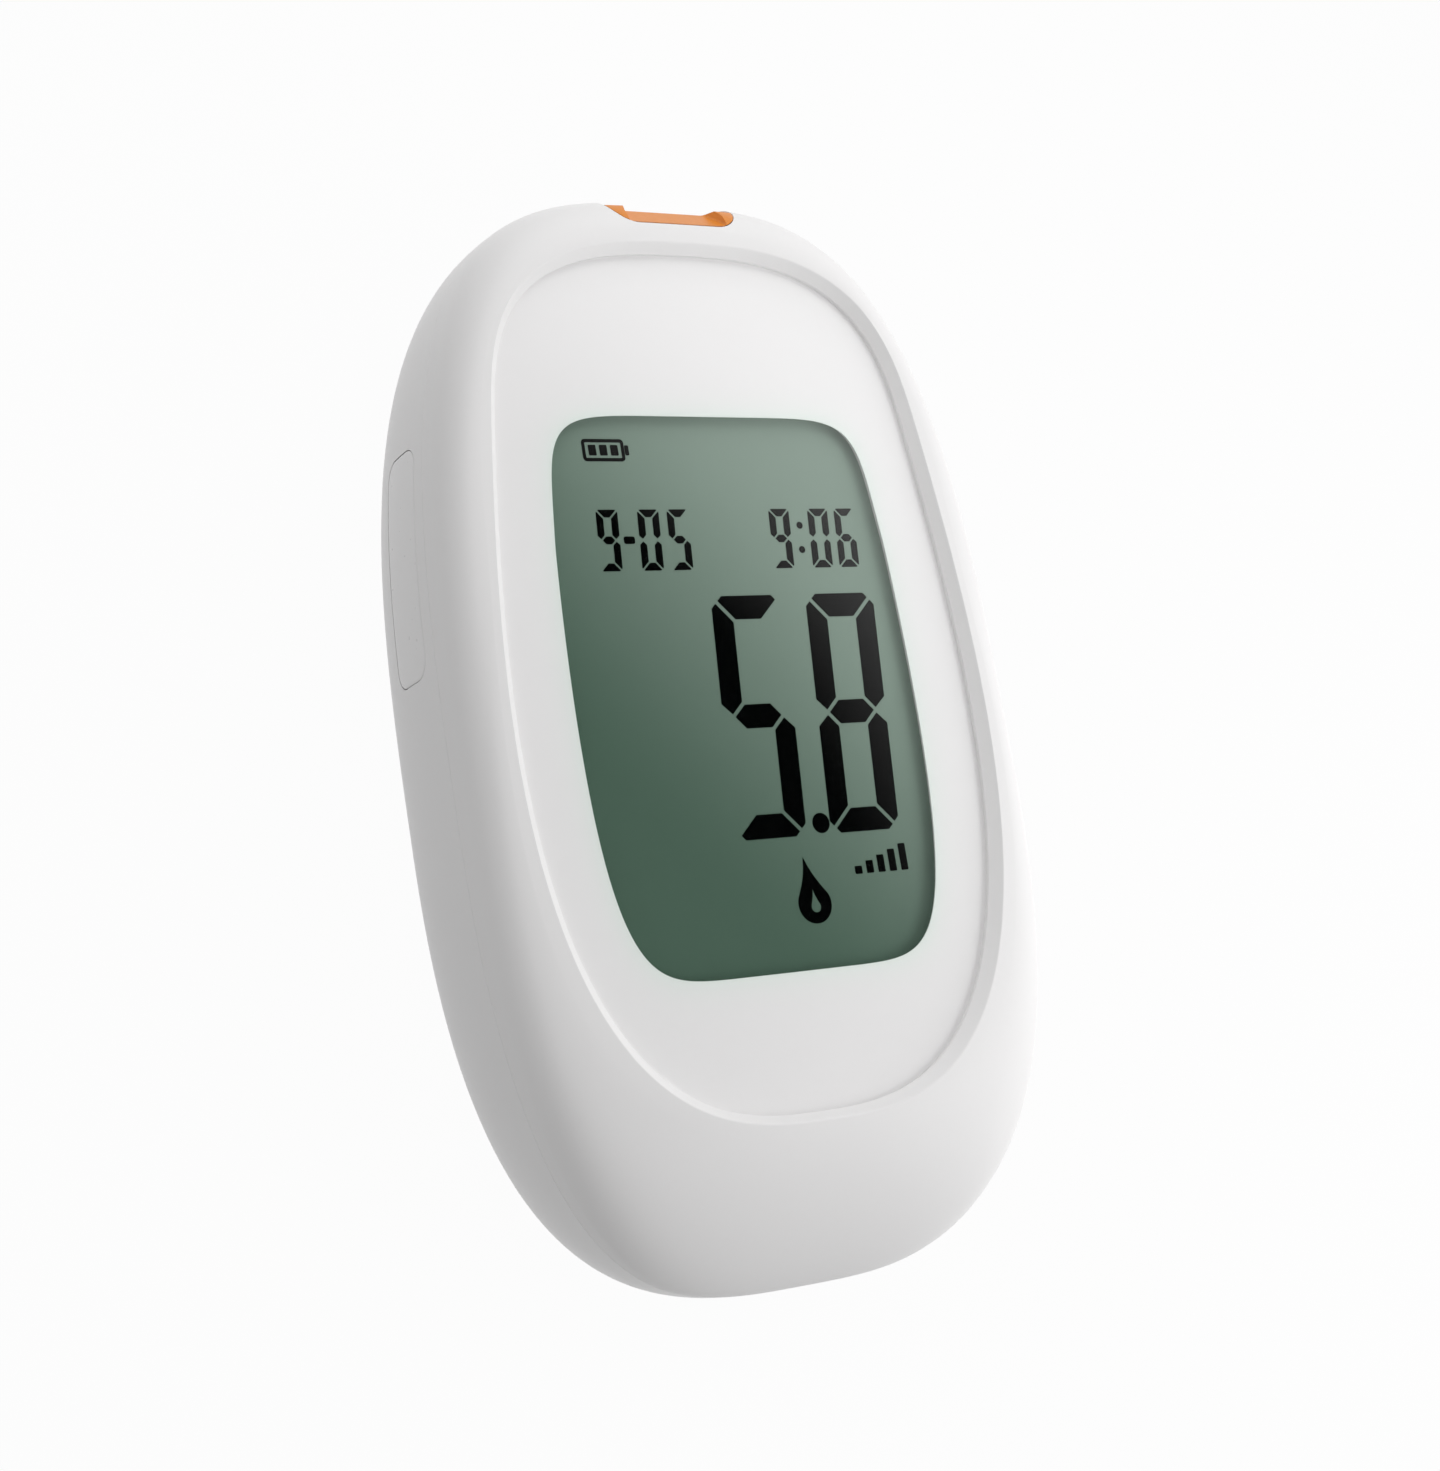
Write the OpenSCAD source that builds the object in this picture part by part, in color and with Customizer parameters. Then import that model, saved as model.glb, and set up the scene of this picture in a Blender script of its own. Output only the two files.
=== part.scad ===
// Pocket blood glucose meter: two lofted shells, a recessed clear panel over a
// segment display, a strip port at the top end, a key on the left edge and a
// slide-off battery cover.  Millimetres.  +Z out of the display, +Y towards the
// strip port, origin under the middle of the flat back.

/* [Housing] */
// Overall length, port end to chin
body_len = 96.5; // [94:0.5:104]
// Overall width at the widest station
body_w = 56; // [54:0.5:62]
// Overall thickness, back to rim
body_h = 21; // [20.8:0.1:24]
// Widest station, from mid-length (negative is towards the chin)
wide_y = -6; // [-9:0.5:-3]
// Wall thickness of both shells
wall = 1.6; // [1.3:0.1:1.8]
// Squareness of the outline across its width
side_power = 3.3; // [2.8:0.1:4]
// Squareness of the outline at the port end
top_power = 2.86; // [2.5:0.02:3.2]
// Squareness of the outline at the chin
chin_power = 2.5; // [2.3:0.1:3]
// Drop from the rim to the parting line at mid-length
seam_below = 5.1; // [4.6:0.1:5.8]
// Drop of the parting line at both ends
seam_drop = 2.9; // [2:0.1:3.4]
// Fullness of the front shoulder on the sides
shoulder_side = 3.56; // [2.6:0.02:4]
// Fullness of the front shoulder at the port end
shoulder_top = 2.76; // [2.2:0.02:3.4]
// Fullness of the front slope at the chin
shoulder_chin = 1.4; // [1.3:0.05:2]
// How far the flat back is drawn in from each side
back_in_x = 5.9; // [5:0.1:6.5]
// How far the flat back is drawn in from each end
back_in_y = 9.85; // [8.5:0.05:10.5]
// Roundness of the rear edges
back_power = 2.25; // [2:0.05:2.6]
// Thickness of the back
back_t = 1.8; // [1.5:0.1:2.2]

/* [Seam] */
// Height of the lip that locates the two shells
lip_h = 0.8; // [0.5:0.1:1]
// Thickness of the lip
lip_t = 0.75; // [0.6:0.05:0.9]
// Bevel on each shell along the parting line
seam_bevel = 0.2; // [0.1:0.05:0.3]

/* [Panel] */
// Margin of the panel inside the widest station, on each side
panel_side = 6.3; // [5.5:0.1:7.5]
// Widening of the panel per millimetre towards the chin
panel_taper = 0.0059; // [0.004:0.0001:0.007]
// Distance from the port end to where the taper starts
panel_start = 25.15; // [24:0.05:27]
// Margin of the panel at the port end
panel_end = 6.15; // [5.6:0.05:8]
// Margin of the panel at the chin
panel_chin = 14.25; // [13:0.05:17]
// Depth of the panel below the rim
rim_drop = 0.9; // [0.6:0.1:1.2]
// Width of the sloping rim around the panel
rim_w = 0.8; // [0.5:0.1:1]
// Thickness of the clear panel
lens_t = 0.7; // [0.6:0.1:0.9]
// Thickness of the printed film under the panel
print_t = 0.1; // [0.05:0.05:0.15]
// Thickness of the tape under the panel
tape_t = 0.1; // [0.1:0.05:0.2]
// Play around the panel
lens_play = 0.1; // [0.05:0.05:0.15]
// Thickness of the front shell under the panel
face_t = 1.1; // [0.9:0.1:1.3]

/* [Display] */
// Margin of the viewing window inside the panel, on each side
window_side = 4.65; // [4.2:0.05:5.7]
// Widening of the window per millimetre towards the chin
window_taper = 0.0061; // [0.004:0.0001:0.007]
// Distance from the port end to where the window's taper starts
window_start = 32.45; // [31:0.05:34]
// Margin of the window inside the panel at the port end
window_top = 14.8; // [14:0.1:16]
// Margin of the window inside the panel at the chin
window_chin = 11.9; // [11:0.1:14]
// Margin of the shell's aperture outside the window
aperture_margin = 0.5; // [0.3:0.1:0.7]
// Reach of the display glass past the window, on each side
glass_side = 2.25; // [1.8:0.05:2.5]
// Reach of the display glass past the window at the port end
glass_top = 1.5; // [1.2:0.1:1.7]
// Reach of the display glass past the window at the chin
glass_foot = 4.7; // [4.2:0.1:5]
// Thickness of each glass plate
glass_t = 0.7; // [0.5:0.1:0.8]
// Thickness of each polarising film
film_t = 0.2; // [0.15:0.05:0.25]
// Contact ledge of the front glass
ledge = 3.4; // [3:0.1:3.8]
// Depth of the pocket that seats the glass in the face
glass_seat = 0.4; // [0.2:0.1:0.5]
// Base thickness of the display frame
frame_base = 1.1; // [0.9:0.1:1.2]
// Wall thickness of the display frame
frame_wall = 1; // [0.8:0.1:1.1]
// Width of the elastomer connector
zebra_w = 2; // [1.6:0.1:2.2]

/* [Circuit board] */
// Thickness of the board
board_t = 1.2; // [1:0.1:1.6]
// Margin of the board inside the widest station, on each side
board_side = 6.5; // [6.3:0.1:7]
// Gap between the board and the shells
board_gap = 1; // [0.6:0.1:1.2]
// Margin of the board at the chin
board_chin = 10.65; // [10.2:0.05:12]
// Height of the buzzer
buzzer_h = 3; // [2:0.1:4]
// Leads along each side of the processor
chip_leads = 8; // [6:1:12]

/* [Strip port] */
// Width of the port
port_w = 13.4; // [12:0.1:14]
// Drop from the rim to the lowest point of the port
port_below = 8.6; // [8.2:0.1:9]
// Depth of the port's face below the end of the housing
port_recess = 1.5; // [1.2:0.05:1.7]
// Distance from the end of the housing to the port's inner edge
port_depth = 3.4; // [3.2:0.1:3.6]
// Distance from the end of the housing to the port's lip in the front
port_lip = 3.45; // [3.2:0.05:3.5]
// Width of each side lip of the port
port_side = 1.9; // [1.6:0.1:2.1]
// Corner radius of the port in the front face
port_round = 2.6; // [2:0.1:3]
// Width of the strip slot
slot_w = 7.6; // [7:0.1:8]
// Height of the strip slot
slot_h = 1.1; // [0.9:0.1:1.3]
// Length of the strip connector
socket_len = 11; // [9:0.5:11.5]
// Number of contact blades in the connector
blades = 5; // [3:1:7]

/* [Side key] */
// Length of the key
key_len = 20; // [18:0.5:20.5]
// Height of the key
key_h = 6.4; // [5.8:0.1:6.8]
// Corner radius of the key
key_round = 2.4; // [1.8:0.1:2.8]
// Distance from the port end to the key's middle
key_end_y = 32; // [31.5:0.25:34]
// Drop from the parting line to the key's middle
key_below = 5; // [4.8:0.1:5.4]
// Play around the key in its opening
key_play = 0.15; // [0.15:0.05:0.3]
// Travel of the key
key_travel = 0.6; // [0.4:0.1:0.8]
// Overhang of the flange that keeps the key in
key_flange = 0.7; // [0.5:0.1:0.8]

/* [Battery bay] */
// Air between the battery bay and the board
bay_roof_gap = 0.43; // [0.3:0.01:0.6]
// Length of a cell, with its nub
cell_len = 44.5; // [44:0.1:44.6]
// Length of a cell's nub
nub_len = 0.9; // [0.8:0.1:1.2]
// Gap between the two cells
cell_gap = 0.3; // [0.2:0.1:0.4]
// Length of a compressed contact spring
spring_len = 3.1; // [2.8:0.1:3.4]
// Distance from the chin to the bay
bay_chin = 9.85; // [9.6:0.05:10.4]
// Wall thickness of the bay
bay_wall = 1.2; // [1:0.1:1.4]
// Thickness of the battery cover
door_t = 1.65; // [1.5:0.05:1.8]
// Overhang of the cover's rails on each side
rail_w = 1; // [0.7:0.1:1.2]
// Thickness of the cover's rails
rail_t = 0.7; // [0.6:0.05:0.8]
// Running play around the cover
door_play = 0.12; // [0.08:0.02:0.16]
// Grip ribs on the cover
grip_ribs = 5; // [3:1:7]

/* [Screws] */
// Diameter of the screw thread
screw_d = 2; // [1.8:0.1:2.2]
// Diameter of the screw head
head_d = 3.8; // [3.4:0.1:4]
// Length under the head
screw_len = 8; // [7:0.5:9]
// Offset of the upper screws from the centre line
screw_up_x = 13; // [12.6:0.1:13.2]
// Distance from the port end to the upper screws
screw_up_end = 15.05; // [14.8:0.05:15.3]
// Margin of the lower screws inside the widest station
screw_low_side = 10; // [9.8:0.1:10.2]
// Distance from the chin to the lower screws
screw_low_end = 14.85; // [14.6:0.05:15.2]

/* [Hidden] */
$fn = 48;

around = 72;                       // points around each lofted ring
seam_gap = 0.02;                   // air between the two shells
half_w = body_w / 2;
half_len = body_len / 2;
reach_up = half_len - wide_y;
reach_down = half_len + wide_y;

// Outlines of the panel, the window and the display glass
panel_half = half_w - panel_side;
panel_y = half_len - panel_start;
panel_up = panel_start - panel_end;
panel_down = panel_y + half_len - panel_chin;
window_half = panel_half - window_side;
window_y = half_len - window_start;
window_up = panel_y + panel_up - window_top - window_y;
window_down = window_y - (panel_y - panel_down + window_chin);
glass_w = 2 * (window_half + glass_side);
glass_low = window_y - window_down - glass_foot;
glass_high = window_y + window_up + glass_top;
glass_len = glass_high - glass_low;
glass_y = (glass_high + glass_low) / 2;

// Heights, from the front down
seam_z = body_h - seam_below;
key_z = seam_z - key_below;
port_z = body_h - port_below;
panel_z = body_h - rim_drop;       // top of the clear panel
recess_z = panel_z - lens_t - print_t - tape_t;
face_z = recess_z - face_t;        // underside of the front face
glass_z = face_z + glass_seat - 0.05;  // top of the display stack
reflector_z = glass_z - 2 * film_t - 2 * glass_t;
board_z = reflector_z - frame_base - 0.05;
board_under = board_z - board_t;

// Stations, from mid-length
board_w = body_w - 2 * board_side;
board_low = board_chin - half_len;
key_y = half_len - key_end_y;
screw_up_y = half_len - screw_up_end;
screw_low_x = half_w - screw_low_side;
screw_low_y = screw_low_end - half_len;
bay_low = bay_chin - half_len;

// Battery bay, from the back up
door_low = 0.1;                    // the cover sits a hair inside the back
door_top = door_low + door_t;
rail_z = door_top - rail_t;
bay_floor = door_top + door_play;
bay_top = board_under - bay_roof_gap - bay_wall;
cell_play = 0.15;                  // above and below a cell
cell_d = bay_top - bay_floor - 2 * cell_play;
cell_z = bay_floor + cell_play + cell_d / 2;
cell_x = (cell_d + cell_gap) / 2;
bay_half = cell_d + cell_gap / 2 + 0.35;
plate_t = 0.4;
bay_len = cell_len + spring_len + 2 * plate_t + 0.1;
bay_high = bay_low + bay_len;
door_half = bay_half + 2;
door_high = bay_high + 1.9;

// ---------------------------------------------------------------- outlines

function spow(v, e) = sign(v) * pow(abs(v), e);

// A closed oval whose half width widens by taper for each millimetre below mid.
function oval(phi, half, taper, mid, up, down, px, pu, pd) =
    let (s = sin(phi), b = s >= 0 ? up : down, p = s >= 0 ? pu : pd,
         yl = b * spow(s, 2 / p))
    [half * (1 - taper * yl) * spow(cos(phi), 2 / px), mid + yl];

function body_pt(phi, inset) =
    oval(phi, half_w - inset, 0, wide_y, reach_up - inset, reach_down - inset,
         side_power, top_power, chin_power);

function back_pt(phi, inset) =
    let (p = body_pt(phi, inset))
    [p.x * (1 - back_in_x / half_w), p.y * (1 - back_in_y / half_len)];

function panel_pt(phi, out) =
    oval(phi, panel_half + out, panel_taper, panel_y, panel_up + out,
         panel_down + out, 2.77, 3.77, 2.26);

function window_pt(phi, out) =
    oval(phi, window_half + out, window_taper, window_y, window_up + out,
         window_down + out, 7.2, 5.6, 1.2);

function seam_at(y) = seam_z - seam_drop * pow(y / half_len, 4);

function shoulder(phi) =
    let (s = sin(phi), end = s >= 0 ? shoulder_top : shoulder_chin)
    shoulder_side + (end - shoulder_side) * s * s;

// ------------------------------------------------------------------- rings

function angles() = [for (i = [0:around - 1]) 360 * i / around];

function flat_ring(kind, out, z) =
    [for (a = angles())
        let (p = kind == "panel" ? panel_pt(a, out)
               : kind == "window" ? window_pt(a, out)
               : back_pt(a, -out))
        [p.x, p.y, z]];

// Ring beside the parting line, raised by dz
function seam_ring(inset, dz) =
    [for (a = angles())
        let (p = body_pt(a, inset)) [p.x, p.y, seam_at(body_pt(a, 0).y) + dz]];

// Ring on the front shoulder: t = 90 at the parting line, 0 at the rim
function front_ring(t, inset, rim_out, rim_z, dz) =
    [for (a = angles())
        let (e = shoulder(a), u = pow(sin(t), 2 / e), w = pow(cos(t), 2 / e),
             m = body_pt(a, inset), r = panel_pt(a, rim_out),
             low = seam_at(m.y) + dz)
        [r.x + (m.x - r.x) * u, r.y + (m.y - r.y) * u,
         rim_z + (low - rim_z) * (1 - w)]];

// Ring on the rear flank: t = 0 at the parting line, 90 at the back
function rear_ring(t, inset, floor_z, dz) =
    [for (a = angles())
        let (u = pow(cos(t), 2 / back_power), w = pow(sin(t), 2 / back_power),
             m = body_pt(a, inset), b = back_pt(a, inset),
             high = seam_at(m.y) + dz)
        [b.x + (m.x - b.x) * u, b.y + (m.y - b.y) * u,
         high + (floor_z - high) * w]];

// Skin over a list of rings; a loop joins the last ring to the first
module skin(rings, loop = false) {
    k = len(rings);
    n = len(rings[0]);
    sides = [for (i = [0:k - (loop ? 1 : 2)], j = [0:n - 1])
        let (a = i * n + j, b = i * n + (j + 1) % n,
             c = (i + 1) % k * n + (j + 1) % n, d = (i + 1) % k * n + j)
        each [[a, c, b], [a, d, c]]];
    caps = loop ? [] : [[for (j = [0:n - 1]) j],
                        [for (j = [n - 1:-1:0]) (k - 1) * n + j]];
    polyhedron([for (r = rings) each r], concat(sides, caps), convexity = 8);
}

// Solid envelope of the housing, drawn in by inset
module envelope(inset = 0, low = 0, high = body_h) {
    skin([for (t = [90:-15:0]) rear_ring(t, inset, low, 0),
          for (t = [75:-15:0]) front_ring(t, inset, rim_w - inset, high, 0)]);
}

// ------------------------------------------------------- small 2D and 3D aids

module rounded(w, h, r) {
    square([w - 2 * r, h], center = true);
    square([w, h - 2 * r], center = true);
    for (x = [-1, 1], y = [-1, 1])
        translate([x * (w / 2 - r), y * (h / 2 - r)]) circle(r);
}

module stadium(w, h) {
    square([w - h, h], center = true);
    for (x = [-1, 1]) translate([x * (w - h) / 2, 0]) circle(h / 2);
}

// Box given by its low and high corners
module block(low, high) {
    translate(low) cube(high - low);
}

module at_screws() {
    for (s = [-1, 1]) {
        translate([s * screw_up_x, screw_up_y, 0]) children();
        translate([s * screw_low_x, screw_low_y, 0]) children();
    }
}

// Drawn in the Y-Z plane and given a length along X
module along_x(x0, x1) {
    translate([x0, 0, 0]) rotate([90, 0, 90]) linear_extrude(x1 - x0) children();
}

// Drawn in the X-Z plane and given a length along +Y
module along_y(y0, y1) {
    translate([0, y1, 0]) rotate([90, 0, 0]) linear_extrude(y1 - y0) children();
}

// -------------------------------------------------------------- the shells

white = [0.95, 0.95, 0.95];
boss_r = screw_d / 2 + 1.5;        // screw columns of the front shell
well_r = head_d / 2 + 0.3;         // screw wells of the rear shell
head_h = 1.5;
head_seat = 4.6;                   // height at which the heads bear
web_t = 1.6;                       // plastic under each head
column_low = head_seat + web_t + 0.05;
bore_r = screw_d / 2 + 0.04;

// Strip port, from the end of the housing inwards
port_face = half_len - port_recess;
port_in = half_len - port_depth;
lip_y = half_len - port_lip;       // front edge of the port in the shell
lip_z = body_h - 0.2;
ramp_z = lip_z - 2.4;              // where the ramp meets the face
throat_z = port_z + 6.8;           // top of the part that crosses the wall
slot_z = board_z + 1.1;
port_play = 0.08;

module port_cut() {
    p = port_play;
    along_y(port_in - p - 2, half_len + 2)
        translate([0, (port_z + throat_z) / 2])
            rounded(port_w + 2 * p, throat_z - port_z + 2 * p, 1.2);
    translate([0, lip_y - p, throat_z - 1.5])
        linear_extrude(body_h)
            translate([0, 5]) rounded(port_w + 2 * p, 10, port_round + p);
}

module front_shell() {
    pocket = [glass_w / 2 + 0.15, glass_len / 2 + 0.15];
    color(white) difference() {
        union() {
            skin([
                seam_ring(seam_bevel, 0),
                for (t = [80:-16:0]) front_ring(t == 80 ? 84 : t, 0, rim_w, body_h, 0),
                flat_ring("panel", 0, panel_z),
                flat_ring("panel", 0, recess_z),
                flat_ring("window", aperture_margin, recess_z),
                flat_ring("window", aperture_margin, face_z),
                flat_ring("panel", -rim_w, face_z),
                for (t = [30:30:90])
                    front_ring(t, wall, -rim_w, face_z, lip_h),
                seam_ring(lip_t, lip_h),
                seam_ring(lip_t, 0)], loop = true);
            intersection() {
                at_screws() translate([0, 0, column_low])
                    cylinder(r = boss_r, h = body_h);
                envelope(1, 0, recess_z - 0.3);
            }
        }
        at_screws() translate([0, 0, column_low - 1])
            cylinder(r = bore_r, h = screw_len - web_t + 2);
        translate([0, glass_y, face_z - 1])
            block([-pocket.x, -pocket.y, 0],
                  [pocket.x, pocket.y, 1 + glass_seat]);
        port_cut();
    }
}

// Height of the flank's draw-in at a level z, as a share of the half width
function flank(z) =
    let (w = max(0, (seam_z - z) / seam_z),
         u = pow(1 - pow(w, back_power), 1 / back_power))
    1 - back_in_x / half_w * (1 - u);

// Station at a share of the board's length
function board_at(share) = board_low + share * (board_high - board_low);

function body_x(y) =
    let (d = y - wide_y, r = d > 0 ? reach_up : reach_down,
         p = d > 0 ? top_power : chin_power)
    half_w * pow(1 - pow(abs(d) / r, p), 1 / side_power);

key_end = key_len / 2 + key_flange;
key_tall = key_h / 2 + key_flange;
key_seat = body_x(key_y + key_end + 0.3) * flank(key_z - key_tall - 0.3) - wall;
flange_t = 1;
board_high = port_in - 1.2;
post_y = board_at(0.438);
post_x = board_w / 2 - 4.3;
post_r = 1.8;
pin_r = 0.8;

module key_outline(grow) {
    translate([key_y, key_z])
        rounded(key_len + 2 * grow, key_h + 2 * grow, key_round + grow);
}

// Recess for the cover: a slot with undercut grooves, open at the chin
module cover_slot() {
    block([-door_half - door_play, -half_len - 2, -1],
          [door_half + door_play, door_high + door_play, bay_floor]);
    block([-door_half - rail_w - door_play, -half_len - 2, rail_z - door_play],
          [door_half + rail_w + door_play, door_high + door_play, bay_floor]);
}

module bay_space() {
    block([-bay_half, bay_low, 0], [bay_half, bay_high, cell_z]);
    for (s = [-1, 1]) translate([s * cell_x, 0, cell_z])
        rotate([-90, 0, 0]) translate([0, 0, bay_low])
            cylinder(r = bay_half - cell_x, h = bay_len);
    for (s = [-1, 1])
        block([s * cell_x - 1.4, bay_high - plate_t - 0.1, cell_z],
              [s * cell_x + 1.4, bay_high, board_under]);
}

module rear_shell() {
    out_x = bay_half + bay_wall;
    sill = door_half + rail_w + bay_wall;
    color(white) difference() {
        union() {
            skin([
                for (t = [90:-15:15]) rear_ring(t, 0, 0, 0),
                rear_ring(5, 0, 0, 0),
                seam_ring(seam_bevel, -seam_gap),
                seam_ring(lip_t + 0.06, -seam_gap),
                seam_ring(lip_t + 0.06, lip_h - 0.05),
                seam_ring(wall, lip_h - 0.05),
                for (t = [15:25:90]) rear_ring(t, wall, back_t, 0)]);
            intersection() {
                union() {
                    block([-out_x, bay_low - bay_wall, 0],
                          [out_x, bay_high + bay_wall, bay_top + bay_wall]);
                    block([-sill, -half_len, 0],
                          [sill, door_high + bay_wall, bay_floor + bay_wall]);
                    at_screws() cylinder(r = well_r + 1.1, h = head_seat + web_t);
                    for (s = [-1, 1]) translate([s * post_x, post_y, 0])
                        cylinder(r = post_r, h = board_under);
                    translate([-half_w, key_y - key_end - 1, key_z - key_tall - 1])
                        cube([half_w - key_seat, 2 * key_end + 2,
                              2 * key_tall + 1.6]);
                }
                envelope(0.4);
            }
            for (s = [-1, 1]) translate([s * post_x, post_y, board_under - 1])
                cylinder(r = pin_r, h = board_t + 0.8);
        }
        cover_slot();
        bay_space();
        at_screws() {
            translate([0, 0, -1]) cylinder(r = well_r, h = head_seat + 1);
            cylinder(r = screw_d / 2 + 0.2, h = head_seat + web_t + 1);
        }
        along_x(-half_w - 1, -key_seat + 1) key_outline(key_play);
        port_cut();
    }
}

// ------------------------------------------------------------- the display

module panel_plate(grow, z, t) {
    translate([0, 0, z]) linear_extrude(t)
        polygon([for (a = angles()) panel_pt(a, grow)]);
}

module display_lens() {
    color([0.93, 0.95, 0.94])
        panel_plate(-lens_play, panel_z - lens_t, lens_t);
}

// White film with the window left open, under the clear panel
module printed_film() {
    color(white) difference() {
        panel_plate(-lens_play, recess_z + tape_t, print_t);
        window_prism(0);
    }
}

module window_prism(grow) {
    translate([0, 0, face_z]) linear_extrude(body_h - face_z)
        polygon([for (a = angles()) window_pt(a, grow)]);
}

module lens_tape() {
    color([0.25, 0.25, 0.25]) difference() {
        panel_plate(-lens_play - 0.3, recess_z, tape_t);
        window_prism(aperture_margin + 0.2);
    }
}

module glass_layer(low_y, top, t, inset = 0) {
    block([-glass_w / 2 + inset, low_y + inset, top - t],
          [glass_w / 2 - inset, glass_high - inset, top]);
}

module front_polariser() {
    color([0.55, 0.62, 0.57]) glass_layer(glass_low, glass_z, film_t, 0.5);
}

module front_glass() {
    color([0.7, 0.8, 0.78, 0.6])
        glass_layer(glass_low, glass_z - film_t, glass_t);
}

module rear_glass() {
    color([0.65, 0.75, 0.72, 0.6])
        glass_layer(glass_low + ledge, glass_z - film_t - glass_t, glass_t);
}

module rear_reflector() {
    color([0.6, 0.66, 0.6])
        glass_layer(glass_low + ledge, reflector_z + film_t, film_t, 0.5);
}

frame_x = glass_w / 2 + 0.1 + frame_wall;
frame_low = glass_low - 0.1 - frame_wall;
frame_high = glass_high + 0.1 + frame_wall;
frame_legs = [glass_low + 14.8, glass_high - 6.8];
leg_x = frame_x - 1.4;
zebra_y = glass_low + ledge / 2 - 0.1;

module display_frame() {
    floor_z = reflector_z - 0.02;
    color([0.88, 0.88, 0.86]) difference() {
        union() {
            block([-frame_x, frame_low, board_z], [frame_x, frame_high, face_z - 0.35]);
            for (s = [-1, 1], y = frame_legs) {
                translate([s * leg_x - 0.5, y - 1, board_under - 1])
                    cube([1, 2, board_t + 1.5]);
                translate([s * (leg_x + 0.3) - 0.5, y - 1, board_under - 1])
                    cube([1, 2, 0.9]);
            }
        }
        block([1 - frame_x, frame_low + 1, floor_z],
              [frame_x - 1, frame_high - 1, body_h]);
        block([2.2 - frame_x, zebra_y - zebra_w / 2 - 0.1, board_z - 1],
              [frame_x - 2.2, zebra_y + zebra_w / 2 + 0.1, body_h]);
    }
}

module zebra_connector() {
    color([0.2, 0.2, 0.22])
        block([2.6 - frame_x, zebra_y - zebra_w / 2, board_z],
              [frame_x - 2.6, zebra_y + zebra_w / 2,
               glass_z - film_t - glass_t]);
}

// ------------------------------------------------------------ the electronics

side_strip = board_w / 2 - bay_half - bay_wall;  // board beside the bay
chip_w = side_strip - 2.3;
chip_x = board_w / 2 - chip_w / 2 - 1.4;
chip_y = board_at(0.217);
crystal_y = board_at(0.52);
buzzer_d = side_strip - 0.9;
buzzer_x = board_w / 2 - buzzer_d / 2 - 0.4;
buzzer_y = key_y - 4;
socket_y = port_in - 1.1 - socket_len;
socket_wall = 2.2;
socket_roof = 0.6;
socket_half = slot_w / 2 + socket_wall;
socket_high = socket_y + socket_len;

module main_board() {
    g = wall + board_gap;
    color([0.1, 0.42, 0.24]) difference() {
        translate([0, 0, board_under]) linear_extrude(board_t) intersection() {
            polygon([for (a = angles()) body_pt(a, g)]);
            translate([-board_w / 2, board_low])
                square([board_w, board_high - board_low]);
        }
        at_screws() translate([0, 0, board_under - 1])
            cylinder(r = boss_r + 0.3, h = board_t + 2);
        for (s = [-1, 1]) translate([s * post_x, post_y, board_under - 1])
            cylinder(r = pin_r + 0.1, h = board_t + 2);
        for (s = [-1, 1], y = frame_legs)
            translate([s * leg_x - (s > 0 ? 0.6 : 1), y - 1.15, board_under - 1])
                cube([1.6, 2.3, board_t + 2]);
    }
}

module processor() {
    body_t = 1.2;
    pitch = (chip_w - 1) / chip_leads;
    color([0.12, 0.12, 0.13]) translate([-chip_x, chip_y, board_under]) {
        translate([-chip_w / 2, -chip_w / 2, -body_t - 0.1])
            cube([chip_w, chip_w, body_t]);
        for (turn = [0:90:270], i = [0:chip_leads - 1]) rotate(turn)
            translate([chip_w / 2 - 0.2, (i - (chip_leads - 1) / 2) * pitch - 0.15, -0.5])
                cube([1, 0.3, 0.5]);
    }
}

module crystal() {
    color([0.75, 0.75, 0.76]) translate([-chip_x, crystal_y, board_under - 2.4])
        linear_extrude(2.4) rotate(90) stadium(7, 3.2);
}

module capacitors() {
    color([0.72, 0.6, 0.42]) for (i = [0:5])
        translate([chip_x - 2.5 + 2.6 * (i % 3), chip_y - 4 + 4 * floor(i / 3),
                   board_under - 0.9]) cube([1.25, 2, 0.9]);
}

module buzzer() {
    color([0.15, 0.15, 0.15]) translate([buzzer_x, buzzer_y, board_under - buzzer_h])
        difference() {
            cylinder(d = buzzer_d, h = buzzer_h);
            translate([0, 0, -1]) cylinder(r = 1, h = 2);
        }
}

// ------------------------------------------------------------- the side key

switch_face = board_w / 2 - 0.3;   // outer face of the switch, from the middle
switch_deep = 3.7;
switch_tall = 3.4;
stem = [2.4, 1.4];                 // the switch's plunger, along Y and Z
stem_z = board_under - switch_tall / 2;
stem_in = 1.4;                     // how far the plunger sits in the switch
flange_in = key_seat - 0.06 - flange_t;

module switch_body() {
    color([0.2, 0.2, 0.2]) difference() {
        block([-switch_face, key_y - 3, board_under - switch_tall],
              [switch_deep - switch_face, key_y + 3, board_under]);
        translate([-switch_face - 1, key_y - stem.x / 2 - 0.08,
                   stem_z - stem.y / 2 - 0.08])
            cube([stem_in + key_travel + 1.2, stem.x + 0.16, stem.y + 0.16]);
    }
}

module switch_stem() {
    color([0.85, 0.83, 0.78])
        translate([-flange_in, key_y - stem.x / 2, stem_z - stem.y / 2])
            cube([flange_in - switch_face + stem_in, stem.x, stem.y]);
}

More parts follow.
